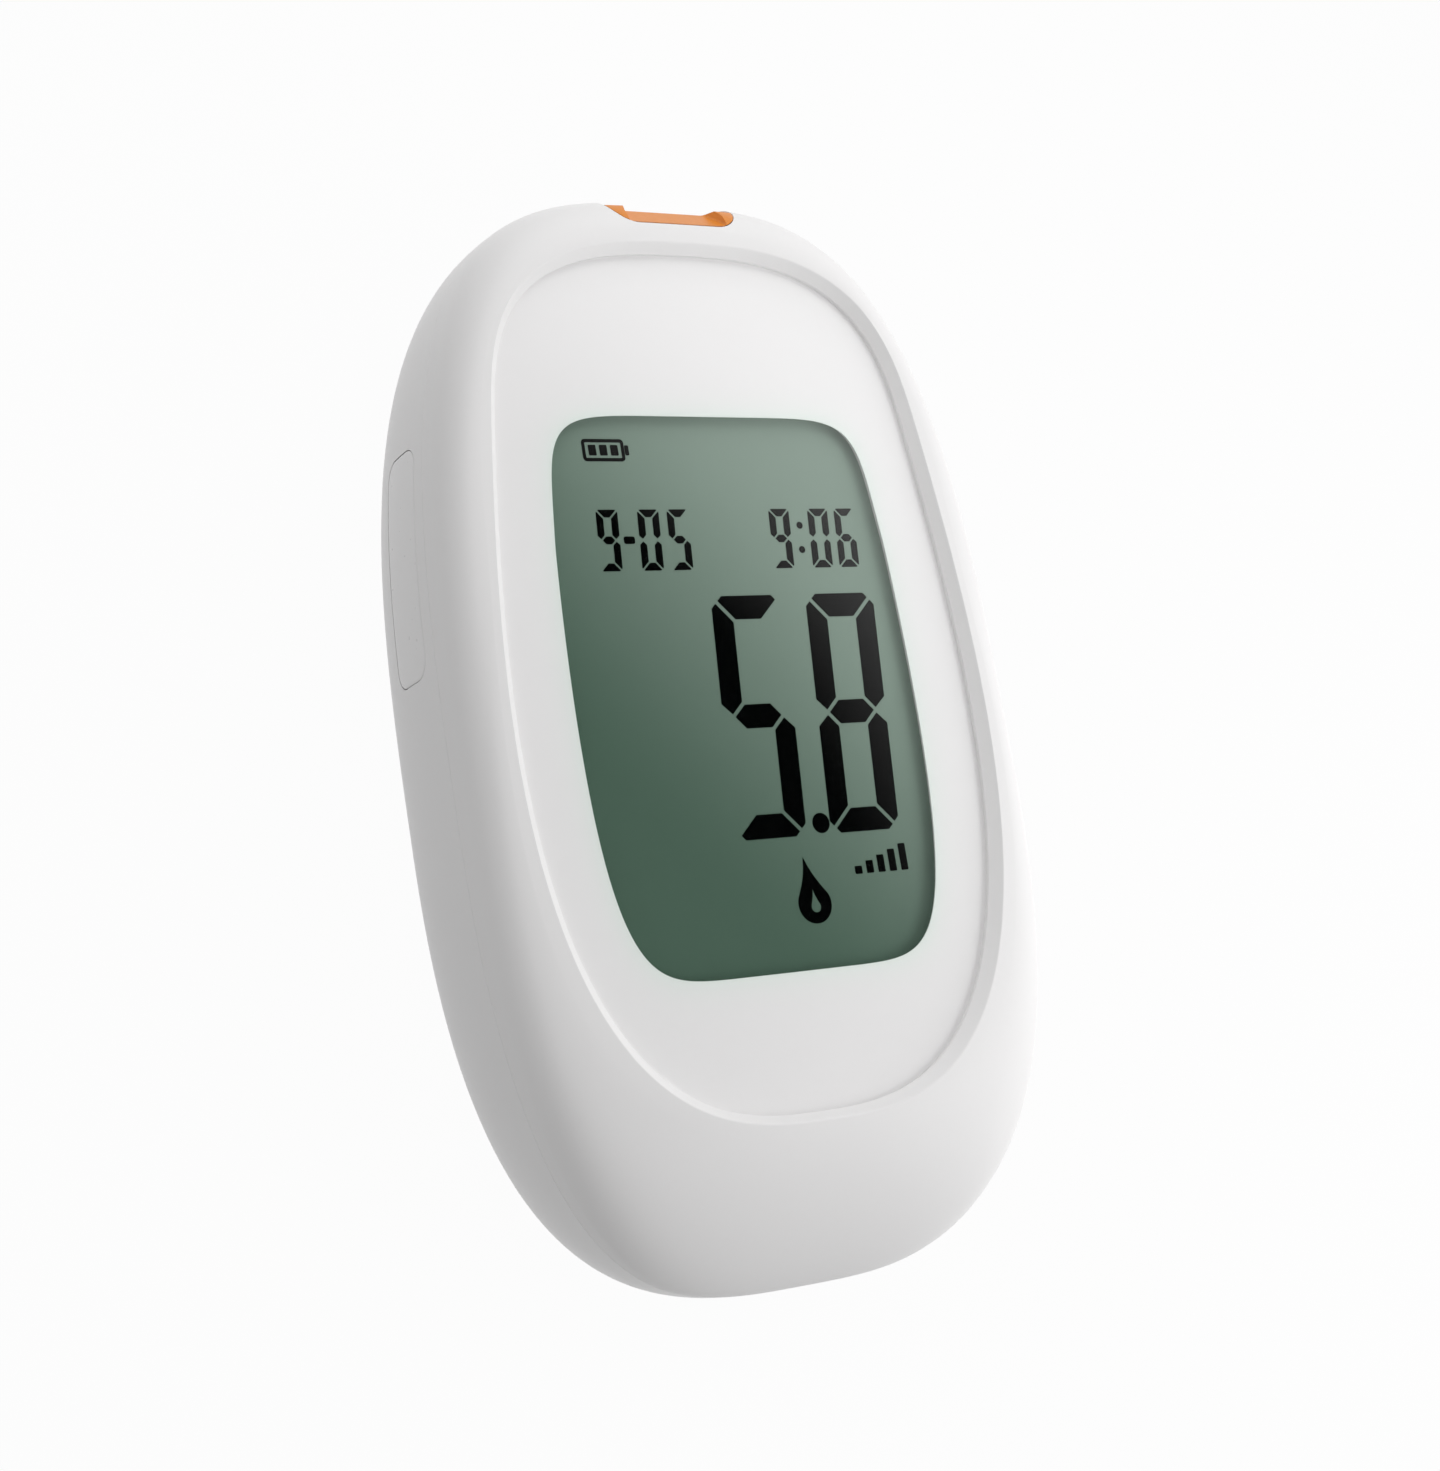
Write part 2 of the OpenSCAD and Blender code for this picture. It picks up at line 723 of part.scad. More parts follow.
module side_key() {
    color([0.93, 0.93, 0.93]) difference() {
        union() {
            intersection() {
                along_x(-half_w - 1, -flange_in) key_outline(0);
                envelope(0);
            }
            along_x(-flange_in - flange_t, -flange_in) key_outline(key_flange);
        }
        for (s = [-1, 1]) along_x(-flange_in - 2.6, 1 - flange_in)
            translate([key_y + s * (key_len / 4 + 0.2), key_z])
                stadium(key_len / 2 - 3.4, key_h - 2.6);
    }
}

// ----------------------------------------------------------- the strip port

// Hollow between the side lips: a ramp down to the face, open at the end
module port_dish() {
    floor_half = port_w / 2 - port_side - 0.3;
    mouth_half = port_w / 2 - port_side + 0.3;
    intersection() {
        along_x(-port_w, port_w) polygon([
            [port_face + 1, ramp_z - (lip_z - ramp_z) / (port_face - lip_y)],
            [lip_y, lip_z], [lip_y, body_h + 1],
            [port_face + 1, body_h + 1]]);
        along_y(lip_y - 1, half_len + 2) polygon([
            [-floor_half, port_z - 2], [floor_half, port_z - 2],
            [floor_half, ramp_z - 0.6], [mouth_half, body_h - 0.8],
            [mouth_half, body_h + 2], [-mouth_half, body_h + 2],
            [-mouth_half, body_h - 0.8], [-floor_half, ramp_z - 0.6]]);
    }
}

module strip_port() {
    flange_y = port_in - 0.9;
    funnel = 0.9;
    color([0.91, 0.55, 0.3]) difference() {
        union() {
            intersection() {
                union() {
                    along_y(port_in, half_len)
                        translate([0, (port_z + throat_z) / 2])
                            rounded(port_w, throat_z - port_z, 1.2);
                    translate([0, lip_y, throat_z - 1.4])
                        linear_extrude(body_h)
                            translate([0, 5]) rounded(port_w, 10, port_round);
                }
                envelope(0);
                block([-port_w, port_in - 1, port_z - 1],
                      [port_w, port_face, body_h + 1]);
            }
            block([-port_w / 2 - 1, flange_y, port_z],
                  [port_w / 2 + 1, port_in + 0.1, throat_z - 2.4]);
        }
        port_dish();
        along_y(flange_y - 1, half_len)
            translate([0, slot_z]) square([slot_w, slot_h], center = true);
        along_x(-slot_w / 2 - 0.4, slot_w / 2 + 0.4) polygon([
            [port_face + 0.1, slot_z - slot_h / 2 - funnel],
            [port_face + 0.1, slot_z + slot_h / 2 + funnel],
            [port_face - funnel, slot_z]]);
    }
}

module strip_connector() {
    color([0.9, 0.9, 0.86]) difference() {
        block([-socket_half, socket_y, board_z],
              [socket_half, socket_high, slot_z + slot_h / 2 + socket_roof]);
        translate([0, slot_z]) along_y_slot();
    }
}

module along_y_slot() {
    translate([0, -slot_z, 0]) along_y(socket_y - 1, socket_high + 1)
        translate([0, slot_z]) square([slot_w + 0.2, slot_h + 0.1], center = true);
}

module strip_contacts() {
    t = 0.2;
    dip = 0.25;                    // how far the blade bends into the slot
    foot = 1.4;
    bend = socket_len / 11;
    top = slot_z + slot_h / 2 + 0.05;
    pitch = slot_w / (blades + 0.6);
    back = socket_y - foot * 0.7;
    tip = socket_high - 2 * bend;
    color([0.83, 0.66, 0.3]) for (i = [0:blades - 1])
        translate([(i - (blades - 1) / 2) * pitch, 0, 0])
            along_x(-pitch * 0.3, pitch * 0.3) polygon([
                [back - foot, board_z], [back, board_z], [back + t, top - t],
                [tip - 2 * bend, top - t], [tip - bend, top - t - dip],
                [tip, top - t], [tip, top], [back, top],
                [back - t, board_z + t], [back - foot, board_z + t]]);
}

// ---------------------------------------------------------- the battery bay

module cell(nub_up) {
    s = nub_up ? 1 : -1;
    low = nub_up ? bay_high - plate_t - cell_len : bay_low + plate_t + cell_len;
    translate([-s * cell_x, low, cell_z]) rotate([-90 * s, 0, 0])
        rotate_extrude() polygon([
            [0, 0], [cell_d / 2 - 0.5, 0], [cell_d / 2, 0.5],
            [cell_d / 2, cell_len - nub_len - 0.5],
            [cell_d / 2 - 0.5, cell_len - nub_len],
            [1.9, cell_len - nub_len], [1.9, cell_len], [0, cell_len]]);
}

module left_cell() {
    color([0.2, 0.45, 0.35]) cell(true);
}

module right_cell() {
    color([0.2, 0.45, 0.35]) cell(false);
}

// Conical coil that stands on z = 0
module coil() {
    wire = 0.3;
    turns = 3;
    steps = 14;
    sides = 6;
    wide = 3.5;
    narrow = 2.1;
    count = turns * steps;
    skin([for (i = [0:count])
        let (f = i / count, a = 360 * turns * f, r = wide + (narrow - wide) * f,
             h = wire + (spring_len - 2 * wire) * f)
        [for (k = [sides - 1:-1:0])
            let (b = 360 * k / sides, q = r + wire * cos(b))
            [q * cos(a), q * sin(a), h + wire * sin(b)]]]);
}

module contact_springs() {
    color([0.8, 0.8, 0.8]) {
        translate([-cell_x, bay_low + plate_t, cell_z]) rotate([-90, 0, 0]) coil();
        translate([cell_x, bay_high - plate_t, cell_z]) rotate([90, 0, 0]) coil();
    }
}

module contact_pad(x, y) {
    half = cell_d * 0.41;
    block([x - half, y, cell_z - half],
          [x + half, y + plate_t, cell_z + half * 0.77]);
}

module contact_plates() {
    y = bay_high - plate_t;
    color([0.78, 0.78, 0.74]) for (s = [-1, 1]) {
        contact_pad(s * cell_x, y);
        block([s * cell_x - 1.2, y, cell_z], [s * cell_x + 1.2, bay_high, board_under]);
    }
}

module contact_bridge() {
    color([0.78, 0.78, 0.74]) {
        for (s = [-1, 1]) contact_pad(s * cell_x, bay_low);
        block([-cell_x, bay_low, cell_z - cell_d * 0.23],
              [cell_x, bay_low + plate_t, cell_z + cell_d * 0.11]);
    }
}

module battery_cover() {
    grip_y = door_high - 9;
    rib = 0.7;
    color([0.94, 0.94, 0.94]) {
        difference() {
            intersection() {
                union() {
                    block([-door_half, -half_len, door_low],
                          [door_half, door_high, door_top]);
                    block([-door_half - rail_w, -half_len, rail_z],
                          [door_half + rail_w, door_high, door_top]);
                }
                envelope(0);
            }
            translate([0, grip_y, -1]) linear_extrude(1.6) stadium(15, 9);
        }
        for (i = [0:grip_ribs - 1])
            translate([-5, grip_y + (i - (grip_ribs - 1) / 2) * 2 * rib - rib / 2,
                       door_low]) cube([10, rib, 0.8]);
    }
}

module housing_screws() {
    slot = [2.2, 0.5];
    color([0.7, 0.7, 0.72]) at_screws() difference() {
        union() {
            translate([0, 0, head_seat - head_h])
                cylinder(d = head_d, h = head_h);
            cylinder_shank();
        }
        for (a = [0, 90]) rotate(a)
            translate([-slot.x / 2, -slot.y / 2, head_seat - head_h - 1])
                cube([slot.x, slot.y, 1.8]);
    }
}

module cylinder_shank() {
    translate([0, 0, head_seat - 0.5])
        cylinder(d = screw_d, h = screw_len + 0.5);
}

front_shell();
rear_shell();
display_lens();
printed_film();
lens_tape();
front_polariser();
front_glass();
rear_glass();
rear_reflector();
display_frame();
zebra_connector();
main_board();
processor();
crystal();
capacitors();
buzzer();
switch_body();
switch_stem();
side_key();
strip_port();
strip_connector();
strip_contacts();
left_cell();
right_cell();
contact_springs();
contact_plates();
contact_bridge();
battery_cover();
housing_screws();
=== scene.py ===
"""Pocket blood glucose meter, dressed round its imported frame.

Sizes are in millimetres, and a mesh is turned to metres when it is made.  +Z is
out of the display, +Y is towards the strip port and the flat back lies at z = 0.
"""

from __future__ import annotations

import logging
import math
from dataclasses import dataclass, field, replace
from enum import Enum
from functools import cache
from typing import Any, Optional, Sequence

import bmesh
import bpy
import numpy as np
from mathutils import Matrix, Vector


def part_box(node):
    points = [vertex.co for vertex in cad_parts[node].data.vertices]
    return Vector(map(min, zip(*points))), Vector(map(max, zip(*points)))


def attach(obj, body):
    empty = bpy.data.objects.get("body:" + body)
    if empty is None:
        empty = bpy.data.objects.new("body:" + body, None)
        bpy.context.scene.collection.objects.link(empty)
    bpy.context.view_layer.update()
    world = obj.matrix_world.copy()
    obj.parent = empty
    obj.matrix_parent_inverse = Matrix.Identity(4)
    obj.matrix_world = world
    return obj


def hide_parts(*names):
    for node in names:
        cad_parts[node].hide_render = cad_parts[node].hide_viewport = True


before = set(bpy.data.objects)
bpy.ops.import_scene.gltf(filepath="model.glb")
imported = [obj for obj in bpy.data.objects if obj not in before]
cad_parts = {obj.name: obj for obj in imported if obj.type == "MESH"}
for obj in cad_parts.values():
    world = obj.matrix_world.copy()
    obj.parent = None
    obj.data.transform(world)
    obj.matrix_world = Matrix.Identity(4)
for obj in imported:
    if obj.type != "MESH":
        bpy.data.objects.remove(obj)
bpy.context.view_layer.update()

LOG = logging.getLogger("meter")
MM = 0.001
TURNS = np.linspace(0.0, 2.0 * math.pi, 360, endpoint=False)
CREASE = math.radians(35.0)
# Corners nearer than this, in metres, are one: in a made mesh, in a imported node.
MERGE, NODE_MERGE = 1e-7, 2e-6
# How far a cutting tool passes what it cuts, and how deep joined solids overlap.
OVER, BITE = 1.0, 0.1
# A wave texture of scale one repeats after this length.
WAVE = 0.314

Ring = np.ndarray
Point = tuple[float, float]
Colour = tuple[float, float, float, float]
Piece = bpy.types.Object
Material = bpy.types.Material
Tree = bpy.types.NodeTree
Node = bpy.types.Node
Socket = bpy.types.NodeSocket


# ---------------------------------------------------------------- mesh tools


class Axis(Enum):
    """Direction in which a flat outline is given its length."""

    X = 0
    Y = 1
    Z = 2


class Cut(Enum):
    """How one solid acts on another."""

    JOIN = "UNION"
    REMOVE = "DIFFERENCE"
    KEEP = "INTERSECT"


def signed_power(value: np.ndarray, power: Any) -> np.ndarray:
    """Raises the size of a value to a power and keeps its sign."""
    return np.sign(value) * np.abs(value) ** power


def unit(vectors: np.ndarray) -> np.ndarray:
    """Scales each row to length one."""
    return vectors / np.maximum(np.linalg.norm(vectors, axis=1, keepdims=True), 1e-9)


def lift(points: np.ndarray, z: Any) -> Ring:
    """Turns flat points into a ring at one height, or at one for each point."""
    return np.column_stack([points, np.broadcast_to(z, len(points))])


def rounded_corner(before: Ring, corner: Ring, after: Ring, size: float) -> list[Ring]:
    """Rings that round the edge between two lofted faces.

    Args:
        before: A ring on the first face.
        corner: The ring of the sharp edge.
        after: A ring on the second face.
        size: How far from the edge the rounding starts.

    Returns:
        Five rings from the first face to the second.
    """
    start = corner + unit(before - corner) * size
    end = corner + unit(after - corner) * size
    return [
        (1 - s) ** 2 * start + 2 * s * (1 - s) * corner + s * s * end
        for s in np.linspace(0.0, 1.0, 5)
    ]


def linked(name: str, data: bpy.types.ID) -> Piece:
    """Puts a mesh, a lamp or a camera into the scene, at the origin."""
    thing = bpy.data.objects.new(name, data)
    bpy.context.scene.collection.objects.link(thing)
    return thing


def turn_out(piece: Piece) -> Piece:
    """Merges a closed piece's doubled corners and turns its faces outwards.

    Args:
        piece: The piece to change.

    Returns:
        The same piece.
    """
    shape = bmesh.new()
    shape.from_mesh(piece.data)
    bmesh.ops.remove_doubles(shape, verts=shape.verts, dist=MERGE)
    bmesh.ops.recalc_face_normals(shape, faces=shape.faces)
    shape.to_mesh(piece.data)
    shape.free()
    return piece


def make_piece(name: str, points: np.ndarray, faces: Sequence[Sequence[int]]) -> Piece:
    """Makes a piece from millimetre points, with its faces turned outwards.

    Args:
        name: The piece's name.
        points: Rows of x, y and z.
        faces: Corner numbers of each face.

    Returns:
        The linked piece, at the origin.
    """
    mesh = bpy.data.meshes.new(name)
    mesh.from_pydata((points * MM).tolist(), [], faces)
    return turn_out(linked(name, mesh))


def strip(first: int, second: int, count: int, closed: bool = False) -> list[list[int]]:
    """Corner numbers of the faces between two rows of points.

    Args:
        first: Number of the first row's first point.
        second: Number of the second row's first point.
        count: How many points each row has.
        closed: Joins each row's last point to its first.

    Returns:
        Four numbers for each face.
    """
    faces = []
    for j in range(count if closed else count - 1):
        k = (j + 1) % count
        faces.append([first + j, first + k, second + k, second + j])
    return faces


def loft(
    name: str, rings: Sequence[Ring], loop: bool = False, patch: Optional[np.ndarray] = None
) -> Piece:
    """Skins a closed solid over rings.

    Args:
        name: The piece's name.
        rings: Rings with the same number of points.
        loop: Joins the last ring to the first instead of capping both.
        patch: Rows of points that close the first ring in place of one face.

    Returns:
        The lofted piece.
    """
    count, around = len(rings), len(rings[0])
    points = np.vstack(rings)
    faces: list[list[int]] = []
    for i in range(count if loop else count - 1):
        faces += strip(i * around, (i + 1) % count * around, around, closed=True)
    if not loop:
        faces.append(list(range((count - 1) * around, count * around)))
    if not loop and patch is None:
        faces.append(list(range(around)))
    if patch is not None:
        rows, columns = patch.shape[:2]
        for i in range(rows - 1):
            start = len(points) + i * columns
            faces += strip(start, start + columns, columns)
        points = np.vstack([points, patch.reshape(-1, 3)])
    return make_piece(name, points, faces)


def prism(outline: np.ndarray, start: float, end: float, axis: Axis = Axis.Z) -> Piece:
    """Gives a flat outline a length along an axis.

    Args:
        outline: Rows of two coordinates: y, z along X; x, z along Y; x, y along Z.
        start: Where the length starts.
        end: Where it ends.
        axis: The direction of the length.

    Returns:
        The prism.
    """
    return loft("prism", [np.insert(outline, axis.value, at, axis=1) for at in (start, end)])


def block(low: Sequence[float], high: Sequence[float]) -> Piece:
    """Box given by its low and high corners."""
    (x0, y0, z0), (x1, y1, z1) = low, high
    return prism(np.array([[x0, y0], [x1, y0], [x1, y1], [x0, y1]]), z0, z1)


def rounded_box(width: float, height: float, radius: float, at: Point = (0.0, 0.0)) -> np.ndarray:
    """Outline of a rectangle with round corners, or a stadium if they meet.

    Args:
        width: Its size along the first axis.
        height: Its size along the second axis.
        radius: Radius of its corners.
        at: Its middle.

    Returns:
        Rows of two coordinates.
    """
    dx, dy = width / 2 - radius, height / 2 - radius
    sweep = np.linspace(0.0, math.pi / 2, 13)
    corners = []
    for quarter, (right, up) in enumerate(((1, 1), (-1, 1), (-1, -1), (1, -1))):
        turn = quarter * math.pi / 2 + sweep
        centre = np.array([at[0] + right * dx, at[1] + up * dy])
        corners.append(centre + radius * np.column_stack([np.cos(turn), np.sin(turn)]))
    return np.vstack(corners)


def circle(x: float, y: float, radius: float, count: int = 64) -> np.ndarray:
    """Outline of a circle, as rows of two coordinates."""
    turn = np.linspace(0.0, 2 * math.pi, count, endpoint=False)
    return np.column_stack([x + radius * np.cos(turn), y + radius * np.sin(turn)])


def join(name: str, parts: Sequence[Piece]) -> Piece:
    """Puts several pieces' meshes into one and deletes the pieces.

    Args:
        name: The new piece's name.
        parts: The pieces, which are then gone.

    Returns:
        The new piece.
    """
    shape = bmesh.new()
    for part in parts:
        shape.from_mesh(part.data)
        bpy.data.objects.remove(part)
    mesh = bpy.data.meshes.new(name)
    shape.to_mesh(mesh)
    shape.free()
    return linked(name, mesh)


def settle(piece: Piece) -> Piece:
    """Turns a piece's modifiers into plain mesh.

    Args:
        piece: The piece to change.

    Returns:
        The same piece.
    """
    bpy.context.view_layer.update()
    graph = bpy.context.evaluated_depsgraph_get()
    mesh = bpy.data.meshes.new_from_object(piece.evaluated_get(graph), depsgraph=graph)
    piece.modifiers.clear()
    piece.data = mesh
    mesh.name = piece.name
    return piece


def carve(piece: Piece, how: Cut, tools: Sequence[Piece]) -> Piece:
    """Cuts, joins or clips a solid with others, which are then gone.

    Args:
        piece: The solid that stays.
        how: What the tools do to it.
        tools: Solids, which may overlap each other.

    Returns:
        The same piece.
    """
    tool = join("tool", tools)
    change = piece.modifiers.new("cut", "BOOLEAN")
    change.operation = how.value
    change.solver = "EXACT"
    change.use_self = True
    change.object = tool
    settle(piece)
    bpy.data.objects.remove(tool)
    return piece


def soften(piece: Piece, edge: float, steps: int = 2, limit: float = 40.0) -> Piece:
    """Rounds a piece's sharp edges.

    Args:
        piece: The piece to change.
        edge: Width of the rounding.
        steps: Faces across it.
        limit: Least angle between faces, in degrees, that counts as sharp.

    Returns:
        The same piece.
    """
    change = piece.modifiers.new("edge", "BEVEL")
    change.width = edge * MM
    change.segments = steps
    change.limit_method = "ANGLE"
    change.angle_limit = math.radians(limit)
    change.use_clamp_overlap = True
    return settle(piece)


def polish(piece: Piece) -> Piece:
    """Shades a piece smooth between its creases, with the large faces leading.

    Args:
        piece: The piece to change.

    Returns:
        The same piece.
    """
    for face in piece.data.polygons:
        face.use_smooth = True
    piece.data.set_sharp_from_angle(angle=CREASE)
    change = piece.modifiers.new("shade", "WEIGHTED_NORMAL")
    change.keep_sharp = True
    return settle(piece)


def copy_of(node: str, name: str) -> Piece:
    """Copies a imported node, with its triangles merged into whole faces.

    Args:
        node: The node's name.
        name: The new piece's name.

    Returns:
        The new piece.
    """
    shape = bmesh.new()
    shape.from_mesh(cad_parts[node].data)
    bmesh.ops.remove_doubles(shape, verts=shape.verts, dist=NODE_MERGE)
    bmesh.ops.dissolve_limit(
        shape, angle_limit=math.radians(1.0), verts=shape.verts, edges=shape.edges
    )
    mesh = bpy.data.meshes.new(name)
    shape.to_mesh(mesh)
    shape.free()
    return linked(name, mesh)


def node_box(node: str) -> tuple[Vector, Vector]:
    """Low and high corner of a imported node, in millimetres."""
    low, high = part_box(node)
    return low / MM, high / MM


def place(piece: Piece, material: Material, body: str, nodes: Sequence[str] = ()) -> None:
    """Dresses a finished piece and hands it to the frame.

    Args:
        piece: The finished piece.
        material: Its finish.
        body: The body that it rides on.
        nodes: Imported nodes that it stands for.
    """
    piece.data.materials.clear()
    piece.data.materials.append(material)
    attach(piece, body)
    if nodes:
        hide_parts(*nodes)
    LOG.info("%s: %d faces", piece.name, len(piece.data.polygons))


# ------------------------------------------------------------ trees of nodes


def add(tree: Tree, kind: str, feeds: Optional[dict[Any, Any]] = None, **settings: Any) -> Node:
    """Adds a node with its settings, values and links.

    Args:
        tree: The tree that gets it.
        kind: The node's type.
        feeds: What each input, by name or number, gets: a value, the socket that
            feeds it, or a node whose first output does.
        settings: Properties of the node.

    Returns:
        The new node.
    """
    node = tree.nodes.new(kind)
    for key, value in settings.items():
        setattr(node, key, value)
    for key, value in (feeds or {}).items():
        if isinstance(value, Node):
            value = value.outputs[0]
        if isinstance(value, Socket):
            tree.links.new(value, node.inputs[key])
        else:
            node.inputs[key].default_value = value
    return node


def empty_tree(owner: Any) -> Tree:
    """The node tree of a new material or world, cleared."""
    owner.use_nodes = True
    owner.node_tree.nodes.clear()
    return owner.node_tree


def rays(tree: Tree, *kinds: str) -> Socket:
    """Tells some kinds of ray from the rest.

    Args:
        tree: The tree that gets the nodes.
        kinds: The kinds, as the light path names them.

    Returns:
        A socket that is one for those kinds and nought for any other.
    """
    path = add(tree, "ShaderNodeLightPath").outputs
    found = path[kinds[0]]
    for kind in kinds[1:]:
        either = add(tree, "ShaderNodeMath", {0: found, 1: path[kind]}, operation="MAXIMUM")
        found = either.outputs[0]
    return found


def start_shape(name: str, *inputs: str, whole: Sequence[str] = ()) -> tuple[Tree, Any]:
    """Starts a geometry tree.

    Args:
        name: The tree's name.
        inputs: Names of the numbers that it takes.
        whole: Those of them that are whole numbers.

    Returns:
        The tree, and the sockets of its inputs by name.
    """
    tree = bpy.data.node_groups.new(name, "GeometryNodeTree")
    for title in inputs:
        kind = "NodeSocketInt" if title in whole else "NodeSocketFloat"
        tree.interface.new_socket(title, in_out="INPUT", socket_type=kind)
    tree.interface.new_socket("Geometry", in_out="OUTPUT", socket_type="NodeSocketGeometry")
    return tree, add(tree, "NodeGroupInput").outputs


def end_shape(tree: Tree, shape: Node, material: Material) -> Tree:
    """Ends a geometry tree in real meshes that wear a material.

    Args:
        tree: The tree to end.
        shape: The node whose geometry it gives.
        material: The finish.

    Returns:
        The same tree.
    """
    real = add(tree, "GeometryNodeRealizeInstances", {0: shape})
    dressed = add(tree, "GeometryNodeSetMaterial", {"Geometry": real, "Material": material})
    add(tree, "NodeGroupOutput", {0: dressed})
    return tree


def grow(name: str, tree: Tree, values: dict[str, Any]) -> Piece:
    """Runs a geometry tree and keeps its result as plain mesh.

    Args:
        name: The new piece's name.
        tree: The geometry tree.
        values: A value for each named input.

    Returns:
        The piece, with no modifier left.
    """
    piece = linked(name, bpy.data.meshes.new(name))
    change = piece.modifiers.new("tree", "NODES")
    change.node_group = tree
    for item in tree.interface.items_tree:
        if item.item_type == "SOCKET" and item.in_out == "INPUT":
            change[item.identifier] = values[item.name]
    return settle(piece)


# ------------------------------------------------------------------ finishes


def linear(code: str) -> Colour:
    """Turns an sRGB hex code into the linear colour that a shader takes."""
    parts = [int(code[i : i + 2], 16) / 255 for i in (1, 3, 5)]
    r, g, b = (p / 12.92 if p <= 0.04045 else ((p + 0.055) / 1.055) ** 2.4 for p in parts)
    return (r, g, b, 1.0)


@dataclass(frozen=True)
class Finish:
    """A surface with a fine moulded or rolled texture.

    The grain is the size of its unevenness, real or drawn coarser so that it shows,
    and the relief is its depth.
    """

    name: str
    colour: str
    roughness: float
    ior: float = 1.5
    metallic: float = 0.0
    grain: float = 0.6
    relief: float = 0.004
    mottle: float = 0.03
    spread: float = 0.06

    def base(self, tree: Tree, where: Socket, noise: Node) -> Socket:
        """Makes the finish's colour, a little uneven.

        Args:
            tree: The material's tree.
            where: Place on the piece; not used here.
            noise: Unevenness at the finish's grain.

        Returns:
            The colour's socket.
        """
        full = linear(self.colour)
        dim = (*(c * (1 - self.mottle) for c in full[:3]), 1.0)
        mix = add(tree, "ShaderNodeMix", {0: noise, 6: full, 7: dim}, data_type="RGBA")
        return mix.outputs[2]

    def surface(self, tree: Tree) -> Node:
        """Makes the surface.

        Args:
            tree: The material's tree.

        Returns:
            The shader that the material shows.
        """
        where = add(tree, "ShaderNodeTexCoord").outputs["Object"]
        scale = 1 / (self.grain * MM)
        noise = add(tree, "ShaderNodeTexNoise", {"Vector": where, "Scale": scale, "Detail": 3.0})
        smooth, dull = max(self.roughness - self.spread, 0.01), self.roughness + self.spread
        rough = add(tree, "ShaderNodeMapRange", {0: noise, 3: smooth, 4: dull})
        bump = add(
            tree, "ShaderNodeBump", {"Distance": self.relief * MM, "Height": noise, "Strength": 1.0},
        )
        return add(tree, "ShaderNodeBsdfPrincipled", {
            "Base Color": self.base(tree, where, noise),
            "Metallic": self.metallic,
            "Roughness": rough,
            "IOR": self.ior,
            "Normal": bump,
        })

    @cache
    def build(self) -> Material:
        """Makes the material, once for each finish.

        Returns:
            The material.
        """
        material = bpy.data.materials.new(self.name)
        tree = empty_tree(material)
        add(tree, "ShaderNodeOutputMaterial", {0: self.surface(tree)})
        return material


@dataclass(frozen=True)
class PrintWithPaintedGlow(Finish):
    """Screen print seen through the panel, with a painted glow along the window's edge: a mint tint that
    stands for light from the display scattered in the clear panel.
    """

    # Mint colour of the painted glow, the display's scattered light, near the window.
    painted_glow: str = "#E2F4E9"

    def base(self, tree: Tree, where: Socket, noise: Node) -> Socket:
        """Makes the ink's colour, which turns to the painted glow's mint near the window.

        Args:
            tree: The material's tree.
            where: Place on the piece.
            noise: Unevenness at the finish's grain.

        Returns:
            The colour's socket.
        """
        plain = Finish.base(self, tree, where, noise)
        near = add(tree, "ShaderNodeAttribute", attribute_name="painted_glow").outputs["Fac"]
        feeds = {0: near, 6: plain, 7: linear(self.painted_glow)}
        return add(tree, "ShaderNodeMix", feeds, data_type="RGBA").outputs[2]


@dataclass(frozen=True)
class DisplayFilmPaintedSheen(Finish):
    """Polarising film over liquid crystal, drawn lighter towards one corner: a painted sheen that stands
    for the light the display catches there.

    The painted sheen's light colour is reached across a width in the direction of the lean, in degrees,
    round the centre.
    """

    # Colour of the painted sheen at the display's lighter corner.
    light: str = "#899C90"
    reach: float = 34.0
    lean: float = 42.0
    centre: Point = (0.0, 3.4)

    def base(self, tree: Tree, where: Socket, noise: Node) -> Socket:
        """Makes the slow run of greens across the display, a painted sheen that lightens it towards one
        corner.

        Args:
            tree: The material's tree.
            where: Place on the piece.
            noise: Unevenness at the finish's grain.

        Returns:
            The colour's socket.
        """
        # Painted sheen: the film turns from its own colour to the light colour towards one corner.
        turn = math.radians(self.lean)
        way = (math.cos(turn), math.sin(turn), 0.0)
        along = add(tree, "ShaderNodeVectorMath", {0: where, 1: way}, operation="DOT_PRODUCT")
        middle = self.centre[0] * way[0] + self.centre[1] * way[1]
        low, high = (middle - self.reach / 2) * MM, (middle + self.reach / 2) * MM
        share = add(
            tree, "ShaderNodeMapRange", {0: along.outputs["Value"], 1: low, 2: high},
            interpolation_type="SMOOTHSTEP",
        )
        run = add(
            tree, "ShaderNodeMix", {0: share, 6: linear(self.colour), 7: linear(self.light)},
            data_type="RGBA",
        )
        mix = add(
            tree, "ShaderNodeMix", {0: self.mottle, 6: run.outputs[2], 7: noise},
            data_type="RGBA", blend_type="MULTIPLY",
        )
        return mix.outputs[2]


@dataclass(frozen=True)
class ClearSheet(Finish):
    """Clear plastic or glass sheet, which lamps shine straight through."""

    def surface(self, tree: Tree) -> Node:
        """Makes the surface.

        Args:
            tree: The material's tree.

        Returns:
            The shader that the material shows.
        """
        tint = linear(self.colour)
        sheet = add(tree, "ShaderNodeBsdfPrincipled", {
            "Base Color": tint, "Roughness": self.roughness, "IOR": self.ior,
            "Transmission Weight": 1.0,
        })
        through = add(tree, "ShaderNodeBsdfTransparent", {0: tint})
        lighting = rays(tree, "Is Shadow Ray", "Is Diffuse Ray")
        return add(tree, "ShaderNodeMixShader", {0: lighting, 1: sheet, 2: through})


